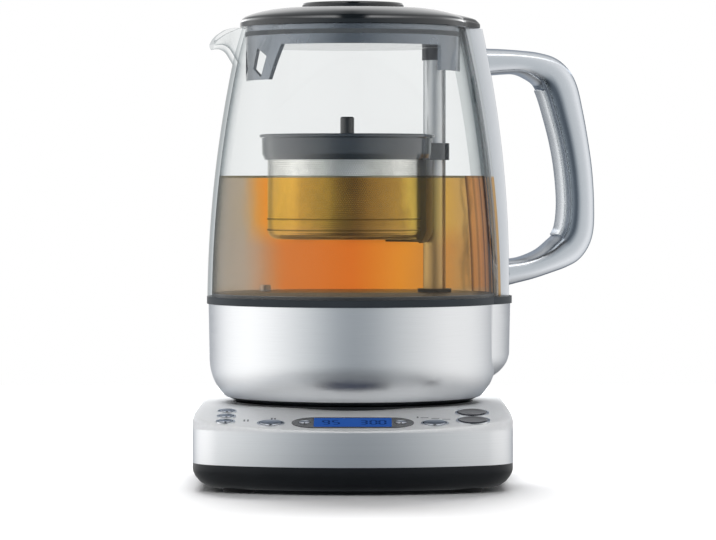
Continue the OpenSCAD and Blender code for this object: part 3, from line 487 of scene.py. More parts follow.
def liner_material(name):
    """Satin channel between glass and spine, with lines along it, and below the tea's top a painted
    tea-coloured tint that stands in for the light coming through the tea.
    """
    m, t, surface, _ = tree(name)
    at = place(t)
    x, y, z = split(t, at)
    lines = ramp(t, [(0.0, (0.75, 0.77, 0.78)), (0.05, (0.20, 0.22, 0.23)), (0.10, (0.86, 0.87, 0.88)),
                     (0.22, (0.84, 0.86, 0.87)), (0.28, (0.32, 0.35, 0.36)), (0.38, (0.26, 0.29, 0.30)),
                     (0.44, (0.74, 0.76, 0.77)), (0.51, (0.72, 0.74, 0.75)), (0.55, (0.34, 0.36, 0.37)),
                     (0.59, (0.78, 0.79, 0.80)), (0.68, (0.92, 0.93, 0.93)), (1.0, (0.96, 0.96, 0.96))],
                 centred(t, off_handle(t, x, y), 0.030))
    # painted light: tea-coloured below the tea's top, for the light that comes through the tea
    painted_tea_light = mix_colour(t, step(t, z, TEA_Z * MM, -0.001), (1.0, 1.0, 1.0), (1.0, 0.62, 0.30))
    give(t, surface, {
        "Base Color": vectors(t, "MULTIPLY", lines, painted_tea_light), "Metallic": 1.0,
        "Roughness": ramp(t, [(0.3, 0.3), (0.7, 0.4)], noise(t, at, 60.0))})
    return m


def glow(name, colour):
    """Lit display: shows its colour to the eye and only a trace of it in the metal around."""
    m, t, surface, _ = tree(name)
    mirrored = node(t, "ShaderNodeLightPath").outputs["Is Glossy Ray"]
    give(t, surface, {
        "Base Color": (*[c * 0.1 for c in colour], 1), "Emission Color": (*colour, 1),
        "Emission Strength": maths(t, "SUBTRACT", 1.0, maths(t, "MULTIPLY", mirrored, 0.9)),
        "Roughness": 0.4, "Specular IOR Level": 0.0})
    return m


def steel_floor(name):
    """Steel disc with a dark sealed edge."""
    m, t, surface, _ = tree(name)
    at = place(t)
    radius = vectors(t, "LENGTH", vectors(t, "MULTIPLY", at, (1, 1, 0)), None, "Value")
    share = maths(t, "MULTIPLY", radius, 10.0)
    give(t, surface, {
        "Base Color": ramp(t, [(0.705, (0.46, 0.46, 0.45)), (0.72, 0.07)], share),
        "Metallic": ramp(t, [(0.705, 1.0), (0.72, 0.0)], share),
        "Roughness": ramp(t, [(0.3, 0.35), (0.7, 0.45)], noise(t, at, 400.0))})
    return m


M = {
    "glass": clear("glass_clear", [(0.0, (0.965, 0.970, 0.970)), (0.60, (0.95, 0.957, 0.957)),
                                   (0.72, (0.86, 0.875, 0.88)), (0.84, (0.62, 0.65, 0.66)),
                                   (1.0, (0.46, 0.49, 0.50))]),
    "tea": tea_material("tea_liquid"),
    "housing": metal("housing_brushed", (0.89, 0.90, 0.91), 0.36, 0.25, (3, 1, 9000), True, 0.05, 0.4),
    "band": metal("band_brushed", (0.89, 0.90, 0.91), 0.36, 0.25, (14, 14, 9000), False, 0.05, 0.4),
    "deck": metal("deck_satin", (0.87, 0.88, 0.89), 0.38, 0.0, (400, 400, 400), False, 0.03, metallic=0.2),
    "handle": handle_material("handle_satin"),
    "spine": metal("spine_satin", (0.76, 0.78, 0.81), 0.20, 0.0, (60, 60, 20), False, 0.03),
    "inlay": metal("inlay_pale", (0.80, 0.82, 0.84), 0.26, 0.0, (60, 60, 60), False, 0.02),
    "slate": plastic("slate_satin", (0.036, 0.044, 0.052), 0.42, 0.0, 0.0, level=0.15),
    "lid": plastic("lid_gloss", (0.010, 0.014, 0.018), 0.12, 0.35, 0.0, level=0.3),
    "plug": plastic("plug_satin", (0.185, 0.212, 0.250), 0.26, 0.9, 0.0, metallic=0.75),
    "black": plastic("black_satin", (0.012, 0.014, 0.017), 0.35, 0.0, 0.1, level=0.35),
    "rim": plastic("rim_gloss", (0.020, 0.032, 0.046), 0.20, 1.0, 0.0),
    "cradle": plastic("cradle_satin", (0.09, 0.10, 0.11), 0.35, 0.2, 0.1),
    "chrome": metal("chrome_bright", (0.86, 0.87, 0.88), 0.07, 0.0, (200, 200, 200), False, 0.02),
    "post": metal("post_polished", (0.93, 0.94, 0.95), 0.22, 0.0, (600, 600, 60), False, 0.03,
                  metallic=0.55),
    "steel": steel_floor("floor_steel"),
    "button": metal("button_plated", (0.46, 0.48, 0.52), 0.16, 0.02, (300, 300, 300), False, 0.03),
    "button_dark": plastic("button_slate", (0.022, 0.024, 0.034), 0.30, 0.0, 0.0, level=0.3),
    "lens": plastic("lens_smoked", (0.030, 0.034, 0.038), 0.22, 0.0, 0.0, level=0.35),
    "screen": glow("screen_blue", (0.020, 0.075, 0.30)),
    "digits": glow("screen_digits", (0.006, 0.022, 0.09)),
    "tick": plastic("tick_grey", (0.18, 0.19, 0.21), 0.5, 0.0, 0.0),
    "rubber": plastic("rubber_black", (0.02, 0.02, 0.021), 0.65, 0.0, 0.4),
    "seal": plastic("seal_silicone", (0.10, 0.11, 0.12), 0.55, 0.0, 0.2),
    "cap": plastic("cap_grey", (0.09, 0.10, 0.12), 0.35, 0.1, 0.1),
    "knob": plastic("knob_black", (0.010, 0.010, 0.012), 0.18, 0.5, 0.0),
    "board": plastic("board_green", (0.03, 0.16, 0.08), 0.35, 0.3, 0.0),
    "brass": metal("contact_brass", (0.80, 0.58, 0.25), 0.18, 0.05, (200, 200, 200), False, 0.05),
    "cast": metal("cast_aluminium", (0.70, 0.70, 0.71), 0.45, 0.3, (600, 600, 600), False, 0.06),
    "dark_metal": metal("dark_metal", (0.30, 0.29, 0.28), 0.4, 0.2, (300, 300, 300), False, 0.1),
    "seam": metal("seam_steel", (0.34, 0.33, 0.30), 0.3, 0.0, (300, 300, 300), False, 0.05),
    "screw": metal("screw_steel", (0.60, 0.60, 0.62), 0.22, 0.1, (300, 300, 300), False, 0.05),
    "liner": liner_material("liner_satin"),
    "sieve": sieve("basket_sieve", (0.92, 0.91, 0.86), 1.25, 0.29, rough=0.24),
    "sieve_lid": sieve("lid_sieve", (0.70, 0.71, 0.72), 1.6, 0.30, flat=True),
}

NODE_MATERIALS = {
    "base_bottom_cover": "black", "base_feet": "rubber", "base_screws": "screw", "base_band": "band",
    "base_deck": "deck", "base_platform": "black", "base_connector": "black",
    "connector_contacts": "brass", "earth_pin": "brass", "cord_gland": "rubber", "main_board": "board",
    "button_board": "board", "tact_switches": "black", "button_bezels": "chrome",
    "display_lens": "lens", "display_screen": "black", "button_keep_warm": "button",
    "button_temperature": "button", "button_time": "button", "button_basket": "button",
    "button_strength": "button", "button_down": "button", "button_up": "button",
    "button_water": "button_dark", "button_tea": "button_dark", "jug_glass": "glass",
    "jug_ring": "slate", "jug_housing": "housing", "jug_floor": "steel", "heat_spreader": "cast",
    "heating_element": "dark_metal", "temperature_sensor": "screw", "jug_bottom_cover": "black",
    "jug_socket": "black", "handle_shell": "handle", "handle_inlay": "inlay",
    "handle_screws": "screw", "spine": "spine", "spine_liner": "liner", "post_tube": "post",
    "post_seal": "seal", "post_cap": "cap", "lift_motor": "dark_metal", "lift_screw": "screw",
    "magnet_carrier": "screw", "basket_rim": "rim", "basket_mesh": "sieve", "basket_cradle": "cradle",
    "basket_magnets": "screw", "basket_lid": "sieve_lid", "basket_knob": "knob", "lid_cap": "lid",
    "lid_grip": "lid", "lid_plug": "plug", "lid_seal": "seal",
}
for name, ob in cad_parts.items():
    ob.data.materials.clear()
    ob.data.materials.append(M[NODE_MATERIALS[name]])

# ---------- base ----------
BOW_R, CORNER_R, BACK_R, ARC_STEPS = 145.0, 26.0, 34.0, 12
BOW_Y = BOW_R - BASE_FRONT
CORNER_X = BASE_W / 2 - CORNER_R
BOW_A = math.asin(CORNER_X / (BOW_R - CORNER_R))
CORNER_Y = BOW_Y - (BOW_R - CORNER_R) * math.cos(BOW_A)


def outline(inset):
    """Outline of the base, drawn in by an inset: bowed front, front corners, sides, rounder back corners."""
    half = []
    for i in range(ARC_STEPS + 1):
        a = BOW_A * i / ARC_STEPS
        half.append(((BOW_R - inset) * math.sin(a), BOW_Y - (BOW_R - inset) * math.cos(a)))
    for i in range(1, ARC_STEPS + 1):
        a = BOW_A + (math.pi / 2 - BOW_A) * i / ARC_STEPS
        half.append((CORNER_X + (CORNER_R - inset) * math.sin(a),
                     CORNER_Y - (CORNER_R - inset) * math.cos(a)))
    half.append((BASE_W / 2 - inset, -PANEL_START))
    for i in range(ARC_STEPS + 1):
        a = math.pi / 2 * i / ARC_STEPS
        half.append((BASE_W / 2 - BACK_R + (BACK_R - inset) * math.cos(a),
                     BASE_BACK - BACK_R + (BACK_R - inset) * math.sin(a)))
    return half + [(-x, y) for x, y in reversed(half[1:])]


def level(inset, z):
    """The outline at a height."""
    return [(x, y, z) for x, y in outline(inset)]


def stack_data(rings):
    """Skin over rings that are mirrored about the Y axis, closed across by strips."""
    n = len(rings[0])
    verts, faces = rings_data(rings)
    faces = faces[:-2]
    for start in (0, (len(rings) - 1) * n):
        for i in range((n - 1) // 2):
            strip = [start + i, start + i + 1, start + n - i - 1]
            faces.append(tuple(strip + ([start + n - i] if i else [])))
    return verts, faces


def deck_top(y):
    return DECK_Z + min(0.0, (y + PANEL_START) * math.tan(TILT))


def edge_r(y):
    """Radius of the deck's edge: full at the back, nearly sharp at the front."""
    if y > -PANEL_START:
        return EDGE_R
    return FRONT_EDGE + (EDGE_R - FRONT_EDGE) * max(0.0, y + BASE_FRONT) / (BASE_FRONT - PANEL_START)


def deck_ring(wall, swing):
    """Ring of the deck's rounded edge, a wall's thickness in, at an angle of its swing."""
    a = math.radians(swing)
    ring = []
    for (x0, y0), (x1, y1) in zip(outline(wall), outline(wall + EDGE_R)):
        e = max(0.2, edge_r(y0) - wall)
        k = e / EDGE_R * (1 - math.cos(a))
        x = x0 + (x1 - x0) * k
        y = y0 + (y1 - y0) * k
        ring.append((x, y, deck_top(y) - wall - e * (1 - math.sin(a))))
    return ring


def panel_point(x, y, h):
    """Point over the sloped panel: x to the right, y in front of the axis, h above the panel."""
    z = DECK_Z + (PANEL_START - y) * math.tan(TILT)
    return (x, -y - h * math.sin(TILT), z + h * math.cos(TILT))


def panel_ring(points, centre, h):
    """Outline points (u right, v up the slope) about a place on the panel, at a height above it."""
    return [panel_point(centre[0] + u, centre[1] - v * math.cos(TILT), h) for u, v in points]


def panel_prism(points, centre, h0, h1):
    """Verts and faces of a piece that stands on the panel between two heights."""
    return rings_data([panel_ring(points, centre, h) for h in (h0, h1)])


def disc(r):
    return [(r * math.cos(a), r * math.sin(a)) for a in circle(64)]


def stadium(length, width, n=24):
    """Straight sides between two half-round ends."""
    r = width / 2
    points = []
    for side in (1, -1):
        for i in range(n + 1):
            a = math.pi * i / n - math.pi / 2
            points.append((side * ((length - width) / 2 + r * math.cos(a)), side * r * math.sin(a)))
    return points


def rect(w, h, r=0.0, steps=4):
    """Rectangle about its centre; r above 0 rounds its corners."""
    corners = [(-w / 2, -h / 2), (w / 2, -h / 2), (w / 2, h / 2), (-w / 2, h / 2)]
    if not r:
        return corners
    points = []
    for i, corner in enumerate(corners):
        c = Vector(corner)
        start = c + (Vector(corners[i - 1]) - c).normalized() * r
        end = c + (Vector(corners[(i + 1) % 4]) - c).normalized() * r
        for k in range(steps + 1):
            t = k / steps
            points.append(tuple(start * (1 - t) ** 2 + c * 2 * t * (1 - t) + end * t * t))
    return points


# buttons: x, distance in front of the axis, diameter
RING_BUTTONS = [(-64.5, 65.4, 7.4), (-64.5, 77.4, 7.4), (-64.5, 89.4, 7.4), (-41.5, 93.5, 11.6),
                (41.5, 93.5, 11.6), (61.0, 87.2, 15.0), (61.0, 69.4, 15.0)]
END_BUTTONS = [(-24.4, LENS_Y, 5.8), (24.4, LENS_Y, 5.8)]
RING_GAP, END_GAP = 1.2, 0.25
WINDOW, WINDOW_DEPTH = stadium(62, 24), 1.2
WELL_R, BAND_WALL = 63.5, 0.8
GLAND_X, GLAND_Z, GLAND_R = -38, 23.25, 7
SCREWS, SCREW_HOLE_R = ((62, 48), (68, -34)), 3.5

deck = plain("deck_form", *stack_data([level(0, DECK_FOOT)]
                                      + [deck_ring(0, a) for a in range(0, 91, 10)]))
cut(deck, stack_data([level(SHELL, DECK_FOOT - 1)] + [deck_ring(SHELL, a) for a in range(0, 91, 15)]))
cut(deck, lathe_data([(WELL_R, 28), (WELL_R, 45)]))
for x, y, d in RING_BUTTONS:
    cut(deck, panel_prism(disc(d / 2 + RING_GAP), (x, y), -6, 4))
cut(deck, panel_prism(WINDOW, (0, LENS_Y), -WINDOW_DEPTH, 5))
for x, y, d in END_BUTTONS:
    cut(deck, panel_prism(disc(d / 2 + END_GAP), (x, y), -6, 4))
dress(deck, M["deck"], "base", "base_deck", 25)

band = plain("band_form", *rings_data([level(0, BAND_Z), level(0, DECK_FOOT), level(BAND_WALL, DECK_FOOT),
                                       level(BAND_WALL, BAND_Z)], loop=True))
gland_hole = [(GLAND_X + GLAND_R * math.cos(a), GLAND_Z + GLAND_R * math.sin(a)) for a in circle(64)]
cut(band, rings_data([[(x, y, z) for x, z in gland_hole] for y in (78.0, 88.0)]))
dress(band, M["band"], "base", "base_band", 25)

cover = plain("cover_form", *stack_data([level(10.0, COVER_Z), level(6.6, 2.9), level(3.6, 5.0),
                                         level(1.5, 7.6), level(0.4, 9.8), level(0.05, 11.4),
                                         level(0.05, BAND_Z)]))
cut(cover, stack_data([level(11.6, 4.4), level(8.2, 5.2), level(5.2, 7.0), level(2.6, 11.6),
                       level(2.4, BAND_Z + 1)]))
join(cover, lathe_data([(30.0, 0.0), (30.0, 4.4)], 96))
for x, y in SCREWS:
    for side in (-1, 1):
        cut(cover, moved(lathe_data([(SCREW_HOLE_R, 1.0), (SCREW_HOLE_R, 6.0)], 32), side * x, y))
dress(cover, M["black"], "base", "base_bottom_cover", 40)

# screen picture: a blue field with plain digits, on top of the window
put("screen_field", *panel_prism(rect(39.4, 20.4, 1.0), (0.0, LENS_Y), 0.30, 0.34), M["screen"], "base",
    "screen_blue", 30)
SEGMENTS = {"a": (0, 1, "h"), "g": (0, 0, "h"), "d": (0, -1, "h"),
            "f": (-1, 0.5, "v"), "b": (1, 0.5, "v"), "e": (-1, -0.5, "v"), "c": (1, -0.5, "v")}
DIGITS = {"0": "abcdef", "3": "abgcd", "5": "afgcd", "9": "abcdfg"}


def digit(name, char, x, w=3.0, h=9.0):
    """One digit of the screen, built from flat bars."""
    verts, faces = [], []
    for segment in DIGITS[char]:
        right, up, kind = SEGMENTS[segment]
        bar = rect(w * 0.8, h * 0.12) if kind == "h" else rect(h * 0.12, h * 0.38)
        bar = [(right * w / 2 + u, up * h / 2 + v) for u, v in bar]
        start = len(verts)
        for height in (0.34, 0.36):
            verts += panel_ring(bar, (x, LENS_Y), height)
        for i in range(4):
            j = (i + 1) % 4
            faces.append((start + i, start + j, start + 4 + j, start + 4 + i))
        faces.append((start + 4, start + 5, start + 6, start + 7))
    put(name, verts, faces, M["digits"], "base", "screen_blue", 0)


for i, (char, x) in enumerate((("9", -13.5), ("5", -8.5), ("3", 5.5), ("0", 10.5), ("0", 15.0))):
    digit("screen_digit_%d" % i, char, x)

# ticks beside the buttons
for i, (x, y, w, h) in enumerate(((-55.0, 86.5, 0.9, 4.0), (-53.2, 86.5, 0.9, 4.0), (-41.2, 82.5, 0.9, 4.0),
                                  (-39.6, 82.5, 0.9, 3.0), (33.0, 79.0, 0.9, 3.2), (36.5, 80.0, 4.0, 0.8),
                                  (42.0, 81.5, 4.0, 0.8), (47.5, 83.5, 4.0, 0.8))):
    put("panel_tick_%d" % i, *panel_prism(rect(w, h), (x, y), 0.0, 0.08), M["tick"], "base",
        "deck_silver", 30)

# ---------- jug ----------
# spout's sections: distance from the axis, half width, and how far foot and lip lie below the rim
SPOUT = [(50, 27, 33, 0), (59, 24, 27, 0), (63.5, 20, 22.5, 0.8), (66.5, 16.5, 18, 1.6),
         (69, 13.8, 14.6, 2.8), (72.4, 10.5, 12.5, 4.6), (75.4, 7.6, 12.2, 7), (77.7, 4.4, 12.6, 9.8)]
SPOUT_CURVE = [on_curve(SPOUT, k / 4) for k in range(4 * len(SPOUT) - 3)]


def spout_section(row, wall=0.0, shift=0.0, lift_outside_painted_shadow=0.0):
    """Half-round section of the spout, a wall's thickness in; lift opens it above the rim."""
    r, w, low, top = row
    w = max(0.6, w - wall)
    x = shift - r
    ring = []
    for i in range(19):
        a = math.pi + math.pi * i / 18
        ring.append((x, -w * math.cos(a), RIM_Z - top + (low - top - wall) * math.sin(a)))
    if lift_outside_painted_shadow:
        ring = [(x, ring[0][1], RIM_Z + lift_outside_painted_shadow)] + ring + [(x, ring[-1][1], RIM_Z + lift_outside_painted_shadow)]
    return ring


def glass_profile(inset, z0, z1, steps=40):
    heights = [z0 + (z1 - z0) * i / steps for i in range(steps + 1)]
    return [(glass_r(z) - inset, z) for z in heights]


jug = plain("jug_glass_look", *lathe_data(glass_profile(0, GLASS_Z, RIM_Z), 160))
join(jug, rings_data([spout_section(row) for row in SPOUT_CURVE]))
cut(jug, lathe_data([(glass_r(GLASS_Z - 2) - WALL, GLASS_Z - 2)] + glass_profile(WALL, GLASS_Z, RIM_Z)
                    + [(GLASS_RIM_R - WALL, RIM_Z + 2)], 160))
cut(jug, rings_data([spout_section(row, WALL, 2, 8) for row in SPOUT_CURVE]))
dress(jug, M["glass"], "jug", "jug_glass", 32, TURN)


# housing: round foot with a lobe at the handle
def housing_profile(r, corner, inset, corner_z, foot):
    """Profile from the ring down to an elliptic corner (width, height) that ends at the foot."""
    end = math.asin(min(1.0, (corner_z - foot) / (corner[1] - inset)))
    points = [(0.001, RING_Z), (r - inset, RING_Z)]
    for i in range(25):
        a = end * i / 24
        points.append((r - 0.5 - corner[0] + (corner[0] - inset) * math.cos(a),
                       corner_z - (corner[1] - inset) * math.sin(a)))
    return points + [(0.001, foot)]


def housing_part(profile, lift_outside_painted_shadow, segs):
    return lathe_data([(r, z + (lift_outside_painted_shadow if z == RING_Z else 0)) for r, z in profile], segs)


def housing_solid(inset, lift_outside_painted_shadow=0.0):
    """Round form joined with the lobe; lift opens both at the top and sinks their feet."""
    round_profile = housing_profile(76.5, (18.3, 24), inset, SEAT_Z + 23, SEAT_Z + 2.6 - lift_outside_painted_shadow)
    lobe_profile = housing_profile(54.2, (26, 18), inset, SEAT_Z + 26, SEAT_Z + 9.2 - lift_outside_painted_shadow)
    body = plain("t_round", *housing_part(round_profile, lift_outside_painted_shadow, 144))
    join(body, moved(housing_part(lobe_profile, lift_outside_painted_shadow, 128), 31))
    return body


housing = housing_solid(0)
boolean(housing, housing_solid(1.0, 0.5), "DIFFERENCE")
dress(housing, M["housing"], "jug", "jug_housing", 30, TURN)

# tea, a hair inside the glass
tea = lathe("tea", glass_profile(WALL + 0.15, FLOOR_Z + 0.1, TEA_Z, 20), M["tea"], "jug", "jug_glass", 128,
            False, 40)
tea.visible_glossy = False

# handle: share of its reach, share of its height, thickness
HANDLE = [(-0.09, 0.995, 15.4), (0.17, 1, 13.8), (0.37, 0.998, 13), (0.54, 0.98, 15.4), (0.69, 0.945, 18.4),
          (0.79, 0.878, 20), (0.864, 0.76, 19.2), (0.93, 0.624, 18), (0.978, 0.483, 17.6), (1, 0.33, 17.5),
          (0.982, 0.205, 18.6), (0.91, 0.133, 18.6), (0.8, 0.093, 17), (0.65, 0.056, 14), (0.47, 0.026, 13),
          (0.31, 0.01, 13.4), (0.1, -0.005, 15.4)]
TOP_Z, FOOT_Z = RIM_Z - 17.3, GLASS_Z + 11.5
ROOT_R, REACH, HANDLE_W, HANDLE_POWER = spine_r(TOP_Z), 126.4, 24.0, 0.72
INLAY_FROM, INLAY_TO, INLAY_ROUND, INLAY_HALF_W, INLAY_PROUD = 4.3, 11.4, 0.45, 7.5, 0.8


def handle_at(u):
    """Radius, height and thickness of the bar at a place along it."""
    reach, rise, thickness = on_curve(HANDLE, u)
    return ROOT_R + reach * (REACH - ROOT_R), FOOT_Z + rise * (TOP_Z - FOOT_Z), thickness


def bar_section(u):
    """Middle and thickness of the bar at a place along it, and the direction across it."""
    (x0, z0, _), (x1, z1, _) = handle_at(u - 0.02), handle_at(u + 0.02)
    length = math.hypot(x1 - x0, z1 - z0)
    return handle_at(u), ((z1 - z0) / length, -(x1 - x0) / length)


def bar_ring(u):
    (r, z, thickness), (nx, nz) = bar_section(u)
    ring = []
    for a in circle(64):
        across = thickness / 2 * math.copysign(abs(math.cos(a)) ** HANDLE_POWER, math.cos(a))
        y = HANDLE_W / 2 * math.copysign(abs(math.sin(a)) ** HANDLE_POWER, math.sin(a))
        ring.append((r + nx * across, y, z + nz * across))
    return ring


verts, faces = rings_data([bar_ring((len(HANDLE) - 1) * k / 160) for k in range(161)])
# the roots end just inside the spine's face
verts = [(max(x, math.sqrt(spine_r(z) ** 2 - y * y) - 0.1), y, z) for x, y, z in verts]
handle = put("handle_bar", verts, faces, M["handle"], "jug", "handle_silver", 50, TURN)
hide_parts("handle_shell")


def inlay_ring(u, w, proud):
    """Strip on the bar's inner side: follows the bar's section, with rounded edges."""
    (r, z, thickness), (nx, nz) = bar_section(u)
    ring = []
    for side, count in ((1, 24), (-1, 12)):
        for i in range(count + 1):
            s = side * math.sin(math.pi / 2 * (2 * i / count - 1))
            sine = min(1.0, abs(w * s) / (HANDLE_W / 2)) ** (1 / HANDLE_POWER)
            across = thickness / 2 * math.sqrt(1 - sine * sine) ** HANDLE_POWER
            edge = max(0.0, (abs(s) - 0.86) / 0.14)
            across += proud * math.sqrt(max(0.0, 1 - edge ** 2)) if side > 0 else -1.5
            ring.append((r + nx * across, w * s, z + nz * across))
    return ring


rings = []
for k in range(101):
    u = INLAY_FROM + (INLAY_TO - INLAY_FROM) * (0.5 - 0.5 * math.cos(math.pi * k / 100))
    end = min(1.0, min(u - INLAY_FROM, INLAY_TO - u) / INLAY_ROUND)
    full = math.sqrt(max(0.0, 1 - (1 - end) ** 2))
    rings.append(inlay_ring(u, max(0.4, INLAY_HALF_W * full), INLAY_PROUD * min(1.0, 0.1 + 1.6 * full)))
inlay = put("handle_inlay_look", *rings_data(rings), M["inlay"], "jug", "inlay_grey", 40, TURN)
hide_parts("handle_inlay")

# spine: a channel with rounded edges
SPINE_HALF_W, SPINE_WALL, SPINE_TOP = 15.0, 1.6, RIM_Z - 0.2


def spine_ring(z):
    out, back = spine_r(z), glass_r(z) + 2.2
    inner, near_edge = SPINE_HALF_W - SPINE_WALL, SPINE_HALF_W * 0.975
    section = [(out, SPINE_HALF_W * (i / 8 - 1) * 0.93) for i in range(17)]
    section += [(out - 0.25, near_edge), (out - 0.9, SPINE_HALF_W), (back, SPINE_HALF_W), (back, inner),
                (out - SPINE_WALL, inner), (out - SPINE_WALL, -inner), (back, -inner), (back, -SPINE_HALF_W),
                (out - 0.9, -SPINE_HALF_W), (out - 0.25, -near_edge)]
    return [(math.sqrt(r * r - y * y), y, z) for r, y in section]


rings = [spine_ring(GLASS_Z + (SPINE_TOP - GLASS_Z) * k / 60) for k in range(61)]
spine = put("spine_look", *rings_data(rings), M["spine"], "jug", "spine_silver", 30, TURN)
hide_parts("spine")

# ---------- lid ----------
CAP_R, PLUG_R, GRIP_R, GRIP_Z = 59.8, 56.7, 27.0, LID_Z - 1.6
FLAT_R, TONGUE_R = PLUG_R - 8, 67.9
CAP = [(0.0, GRIP_Z), (GRIP_R + 0.2, GRIP_Z), (GRIP_R + 0.2, LID_Z - 0.3), (GRIP_R + 1, LID_Z),
       (34, LID_Z - 0.3), (CAP_R - 20, LID_Z - 0.7), (CAP_R - 15.5, LID_Z - 1.3), (CAP_R - 12, LID_Z - 2.0),
       (CAP_R - 9, LID_Z - 2.7), (CAP_R - 6.5, LID_Z - 3.4), (CAP_R - 4.2, LID_Z - 4.2),
       (CAP_R - 2.4, LID_Z - 5.0), (CAP_R - 1.5, LID_Z - 5.6), (CAP_R - 1.25, LID_Z - 5.9),
       (CAP_R - 0.2, LID_Z - 7.7), (CAP_R - 0.05, LID_Z - 8.1), (CAP_R, LID_Z - 8.6),
       (CAP_R, RIM_Z + 0.3), (CAP_R - 0.3, RIM_Z), (PLUG_R, RIM_Z), (PLUG_R, RIM_Z + 2.4),
       (CAP_R - 7, LID_Z - 5.6), (CAP_R - 20, LID_Z - 3.6), (0.0, LID_Z - 3.6)]


def tongue(a):
    """How far the cap's edge reaches out at angle a from the handle's direction, 0 to 1."""
    d = abs((math.degrees(a) + 180) % 360 - 180)
    q = min(1.0, max(0.0, (26.0 - d) / 14.0))
    return q * q * (3 - 2 * q)


def cap_point(r, z, a):
    """Point of the cap, drawn out to the tongue's reach near the handle."""
    if r <= FLAT_R or (r <= PLUG_R and z < LID_Z - 5.5):
        share = 0.0
    elif z > RIM_Z + 0.35:
        share = tongue(a) * (r - FLAT_R) / (CAP_R - FLAT_R)
    else:
        share = tongue(a)
    edge = r + share * (TONGUE_R - CAP_R)
    return edge * math.cos(a), edge * math.sin(a), z - share * 0.6 * max(0.0, (z - RIM_Z - 1) / 9)


verts, faces = rings_data([[cap_point(max(r, 0.01), z, a) for a in circle(240)] for r, z in CAP])
cap = put("lid_cap_look", verts, faces, M["lid"], "lid", "lid_slate", 40, TURN)
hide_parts("lid_cap")
GRIP = [(0.01, GRIP_Z), (GRIP_R - 1, GRIP_Z), (GRIP_R - 0.2, GRIP_Z + 0.8), (GRIP_R, GRIP_Z + 1.8),
        (GRIP_R - 0.1, GRIP_Z + 3.0), (GRIP_R - 0.5, GRIP_Z + 3.8), (GRIP_R - 1.4, GRIP_Z + 4.2),
        (GRIP_R - 5, GRIP_Z + 4.35), (14, GRIP_Z + 4.5), (0.01, GRIP_Z + 4.6)]
grip = lathe("lid_grip_look", GRIP, M["lid"], "lid", "lid_slate", 144, False, 50)
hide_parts("lid_grip")

# ---------- post ----------
POST_R, POST_BORE, POST_FOOT, POST_TOP = 5.95, 5.35, 88.5, 227.5
tube = [(POST_R, POST_FOOT), (POST_R, POST_TOP), (POST_BORE, POST_TOP), (POST_BORE, POST_FOOT)]
post = lathe("post_look", tube, M["post"], "jug", "post_steel", 96, True, 40, POST)
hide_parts("post_tube")

# rolled seams at the foot of the basket's wall
SEAM_IN, SEAM_OUT, SEAM_HALF = 42.05, 42.4, 0.35
for name, z in (("basket_seam_high", 138.2), ("basket_seam_low", 132.4)):
    seam = [(SEAM_IN, z - SEAM_HALF), (SEAM_OUT, z - SEAM_HALF), (SEAM_OUT, z + SEAM_HALF),
            (SEAM_IN, z + SEAM_HALF)]
    lathe(name, seam, M["seam"], "basket", "mesh_steel", 128, True, 40, BASKET)

# ---------- studio ----------
world = bpy.data.worlds.new("studio")
scene.world = world
world.cycles.sampling_method = "NONE"
world.use_nodes = True
wt = world.node_tree
for n in list(wt.nodes):
    wt.nodes.remove(n)
# brightness by compass direction, from straight behind the jug, at 0, round to straight in front, at 1
ROOM = [(0.0, 0.85), (0.015, 0.78), (0.05, (0.38, 0.39, 0.40)), (0.10, (0.50, 0.51, 0.52)),
        (0.18, 0.92), (0.30, 1.0), (0.42, 1.05), (0.56, 1.08), (0.66, 0.98), (0.77, (0.83, 0.84, 0.85)),
        (0.88, (0.68, 0.70, 0.71)), (0.945, (0.53, 0.56, 0.58)), (0.972, (0.38, 0.41, 0.44)),
        (1.0, (0.24, 0.27, 0.30))]


def room(t, vector):
    """Brightness of the studio by compass direction: darkest in front, brightest at the sides."""
    x, y, _ = split(t, vector)
    squares = maths(t, "ADD", maths(t, "MULTIPLY", x, x), maths(t, "MULTIPLY", y, y))
    far = maths(t, "SQRT", maths(t, "ADD", squares, 0.0001))
    front = maths(t, "DIVIDE", maths(t, "MULTIPLY", y, -0.5), far)
    grey = ramp(t, ROOM, maths(t, "ADD", front, 0.5))
    lean = maths(t, "ADD", maths(t, "MULTIPLY", maths(t, "DIVIDE", x, far), -0.14), 1.08)
    return node(t, "ShaderNodeVectorMath", operation="SCALE", Vector=grey, Scale=lean).outputs["Vector"]


direction = node(wt, "ShaderNodeTexCoord").outputs["Generated"]
right, behind, up = split(wt, direction)
sideways = maths(wt, "ABSOLUTE", right)
over_front = ramp(wt, [(0.12, 0.05), (0.22, 0.75)], sideways)
over_back = ramp(wt, [(0.25, 0.70), (0.47, 0.45), (0.50, 0.22), (0.51, 0.40), (0.575, 0.80)],
                 centred(wt, right, 2))
turned = ramp(wt, [(0.46, 0.0), (0.54, 1.0)], centred(wt, behind, 2))
overhead = mix_colour(wt, turned, over_front, over_back)
light = mix_colour(wt, ramp(wt, [(0.42, 0.0), (0.66, 1.0)], up), room(wt, direction), overhead)
# a thin lamp high in front, dark in its middle: edges sloped at 30 degrees catch it all the way round
rise = maths(wt, "DIVIDE", maths(wt, "MULTIPLY", up, maths(wt, "ABSOLUTE", up)),
             maths(wt, "SUBTRACT", 1.0001, behind))
strip = maths(wt, "MULTIPLY", ramp(wt, [(0.41, 0.0), (0.45, 1.0), (0.58, 1.0), (0.62, 0.0)], rise),
              ramp(wt, [(0.15, 0.0), (0.24, 3.0), (0.45, 2.4), (0.75, 0.3)], sideways))
mirrored = vectors(wt, "ADD", light, strip)
path = node(wt, "ShaderNodeLightPath")
seen = mix_colour(wt, path.outputs["Is Glossy Ray"], (0.15, 0.15, 0.15), mirrored)
seen = mix_colour(wt, path.outputs["Is Camera Ray"], seen, (1.0, 1.0, 1.0))
sky = node(wt, "ShaderNodeBackground", Color=seen).outputs["Background"]
node(wt, "ShaderNodeOutputWorld", Surface=sky)


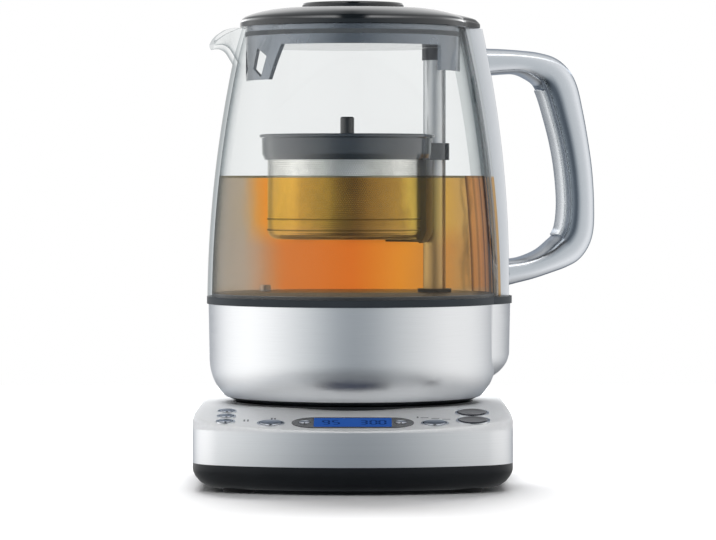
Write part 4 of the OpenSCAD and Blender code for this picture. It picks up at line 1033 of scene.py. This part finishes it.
def lamp(name, loc, aim, size, watts):
    """Rectangular lamp, in metres, that mirrors don't show."""
    light = bpy.data.lights.new(name, "AREA")
    light.shape = "RECTANGLE"
    light.size, light.size_y = size
    light.energy = watts
    ob = bpy.data.objects.new(name, light)
    scene.collection.objects.link(ob)
    ob.location = loc
    ob.rotation_euler = (Vector(aim) - Vector(loc)).to_track_quat("-Z", "Y").to_euler()
    ob.visible_glossy = False


lamp("back_light", (0, 1.2, 1.5), (0, 0, 0.05), (1.7, 0.7), 58)
lamp("front_light", (0, -1.3, 1.3), (0, 0, 0.05), (1.0, 0.6), 8)
lamp("left_light", (-1.5, -1.0, 0.9), (0, 0, 0.12), (0.8, 1.4), 3)
lamp("right_light", (1.6, -0.8, 0.8), (0, 0, 0.12), (0.8, 1.4), 3)


def floor_material(name):
    """White floor with a soft shadow near the base, deepened by a painted shadow where the extra white for
    the eye is held back; in mirrors it fades into the room, with a painted shadow near the base.
    """
    m, t, surface, out = tree(name)
    give(t, surface, {"Base Color": (0.92, 0.92, 0.93, 1), "Roughness": 0.6, "Specular IOR Level": 0.2})
    path = node(t, "ShaderNodeLightPath")
    at = place(t)
    away = vectors(t, "LENGTH", vectors(t, "MULTIPLY", at, (1.55, 0.76, 1.0)), None, "Value")
    # painted shadow: no extra white near the base, more further out
    lift_outside_painted_shadow = ramp(t, [(0.122, 0.0), (0.14, 0.08), (0.17, 0.22), (0.25, 0.42), (0.5, 0.5)], away)
    white = node(t, "ShaderNodeEmission", Color=(1, 1, 1, 1),
                 Strength=maths(t, "MULTIPLY", path.outputs["Is Camera Ray"], lift_outside_painted_shadow)).outputs["Emission"]
    seen = add_shader(t, surface.outputs["BSDF"], white)
    # painted shadow in mirrors: darker near the base
    painted_mirror_shadow = ramp(t, [(0.10, 0.30), (0.16, 0.42), (0.36, 1.0)], away)
    mirrored = node(t, "ShaderNodeEmission", Color=room(t, at), Strength=painted_mirror_shadow).outputs["Emission"]
    give(t, out, {"Surface": mix_shader(t, path.outputs["Is Glossy Ray"], seen, mirrored)})
    return m


FLOOR_SIDE, FLOOR_LEVEL = 1800, -0.05
floor = put("floor", [(x, y, FLOOR_LEVEL) for x, y in rect(FLOOR_SIDE, FLOOR_SIDE)], [(0, 1, 2, 3)],
            floor_material("floor_white"), None, None, 0)
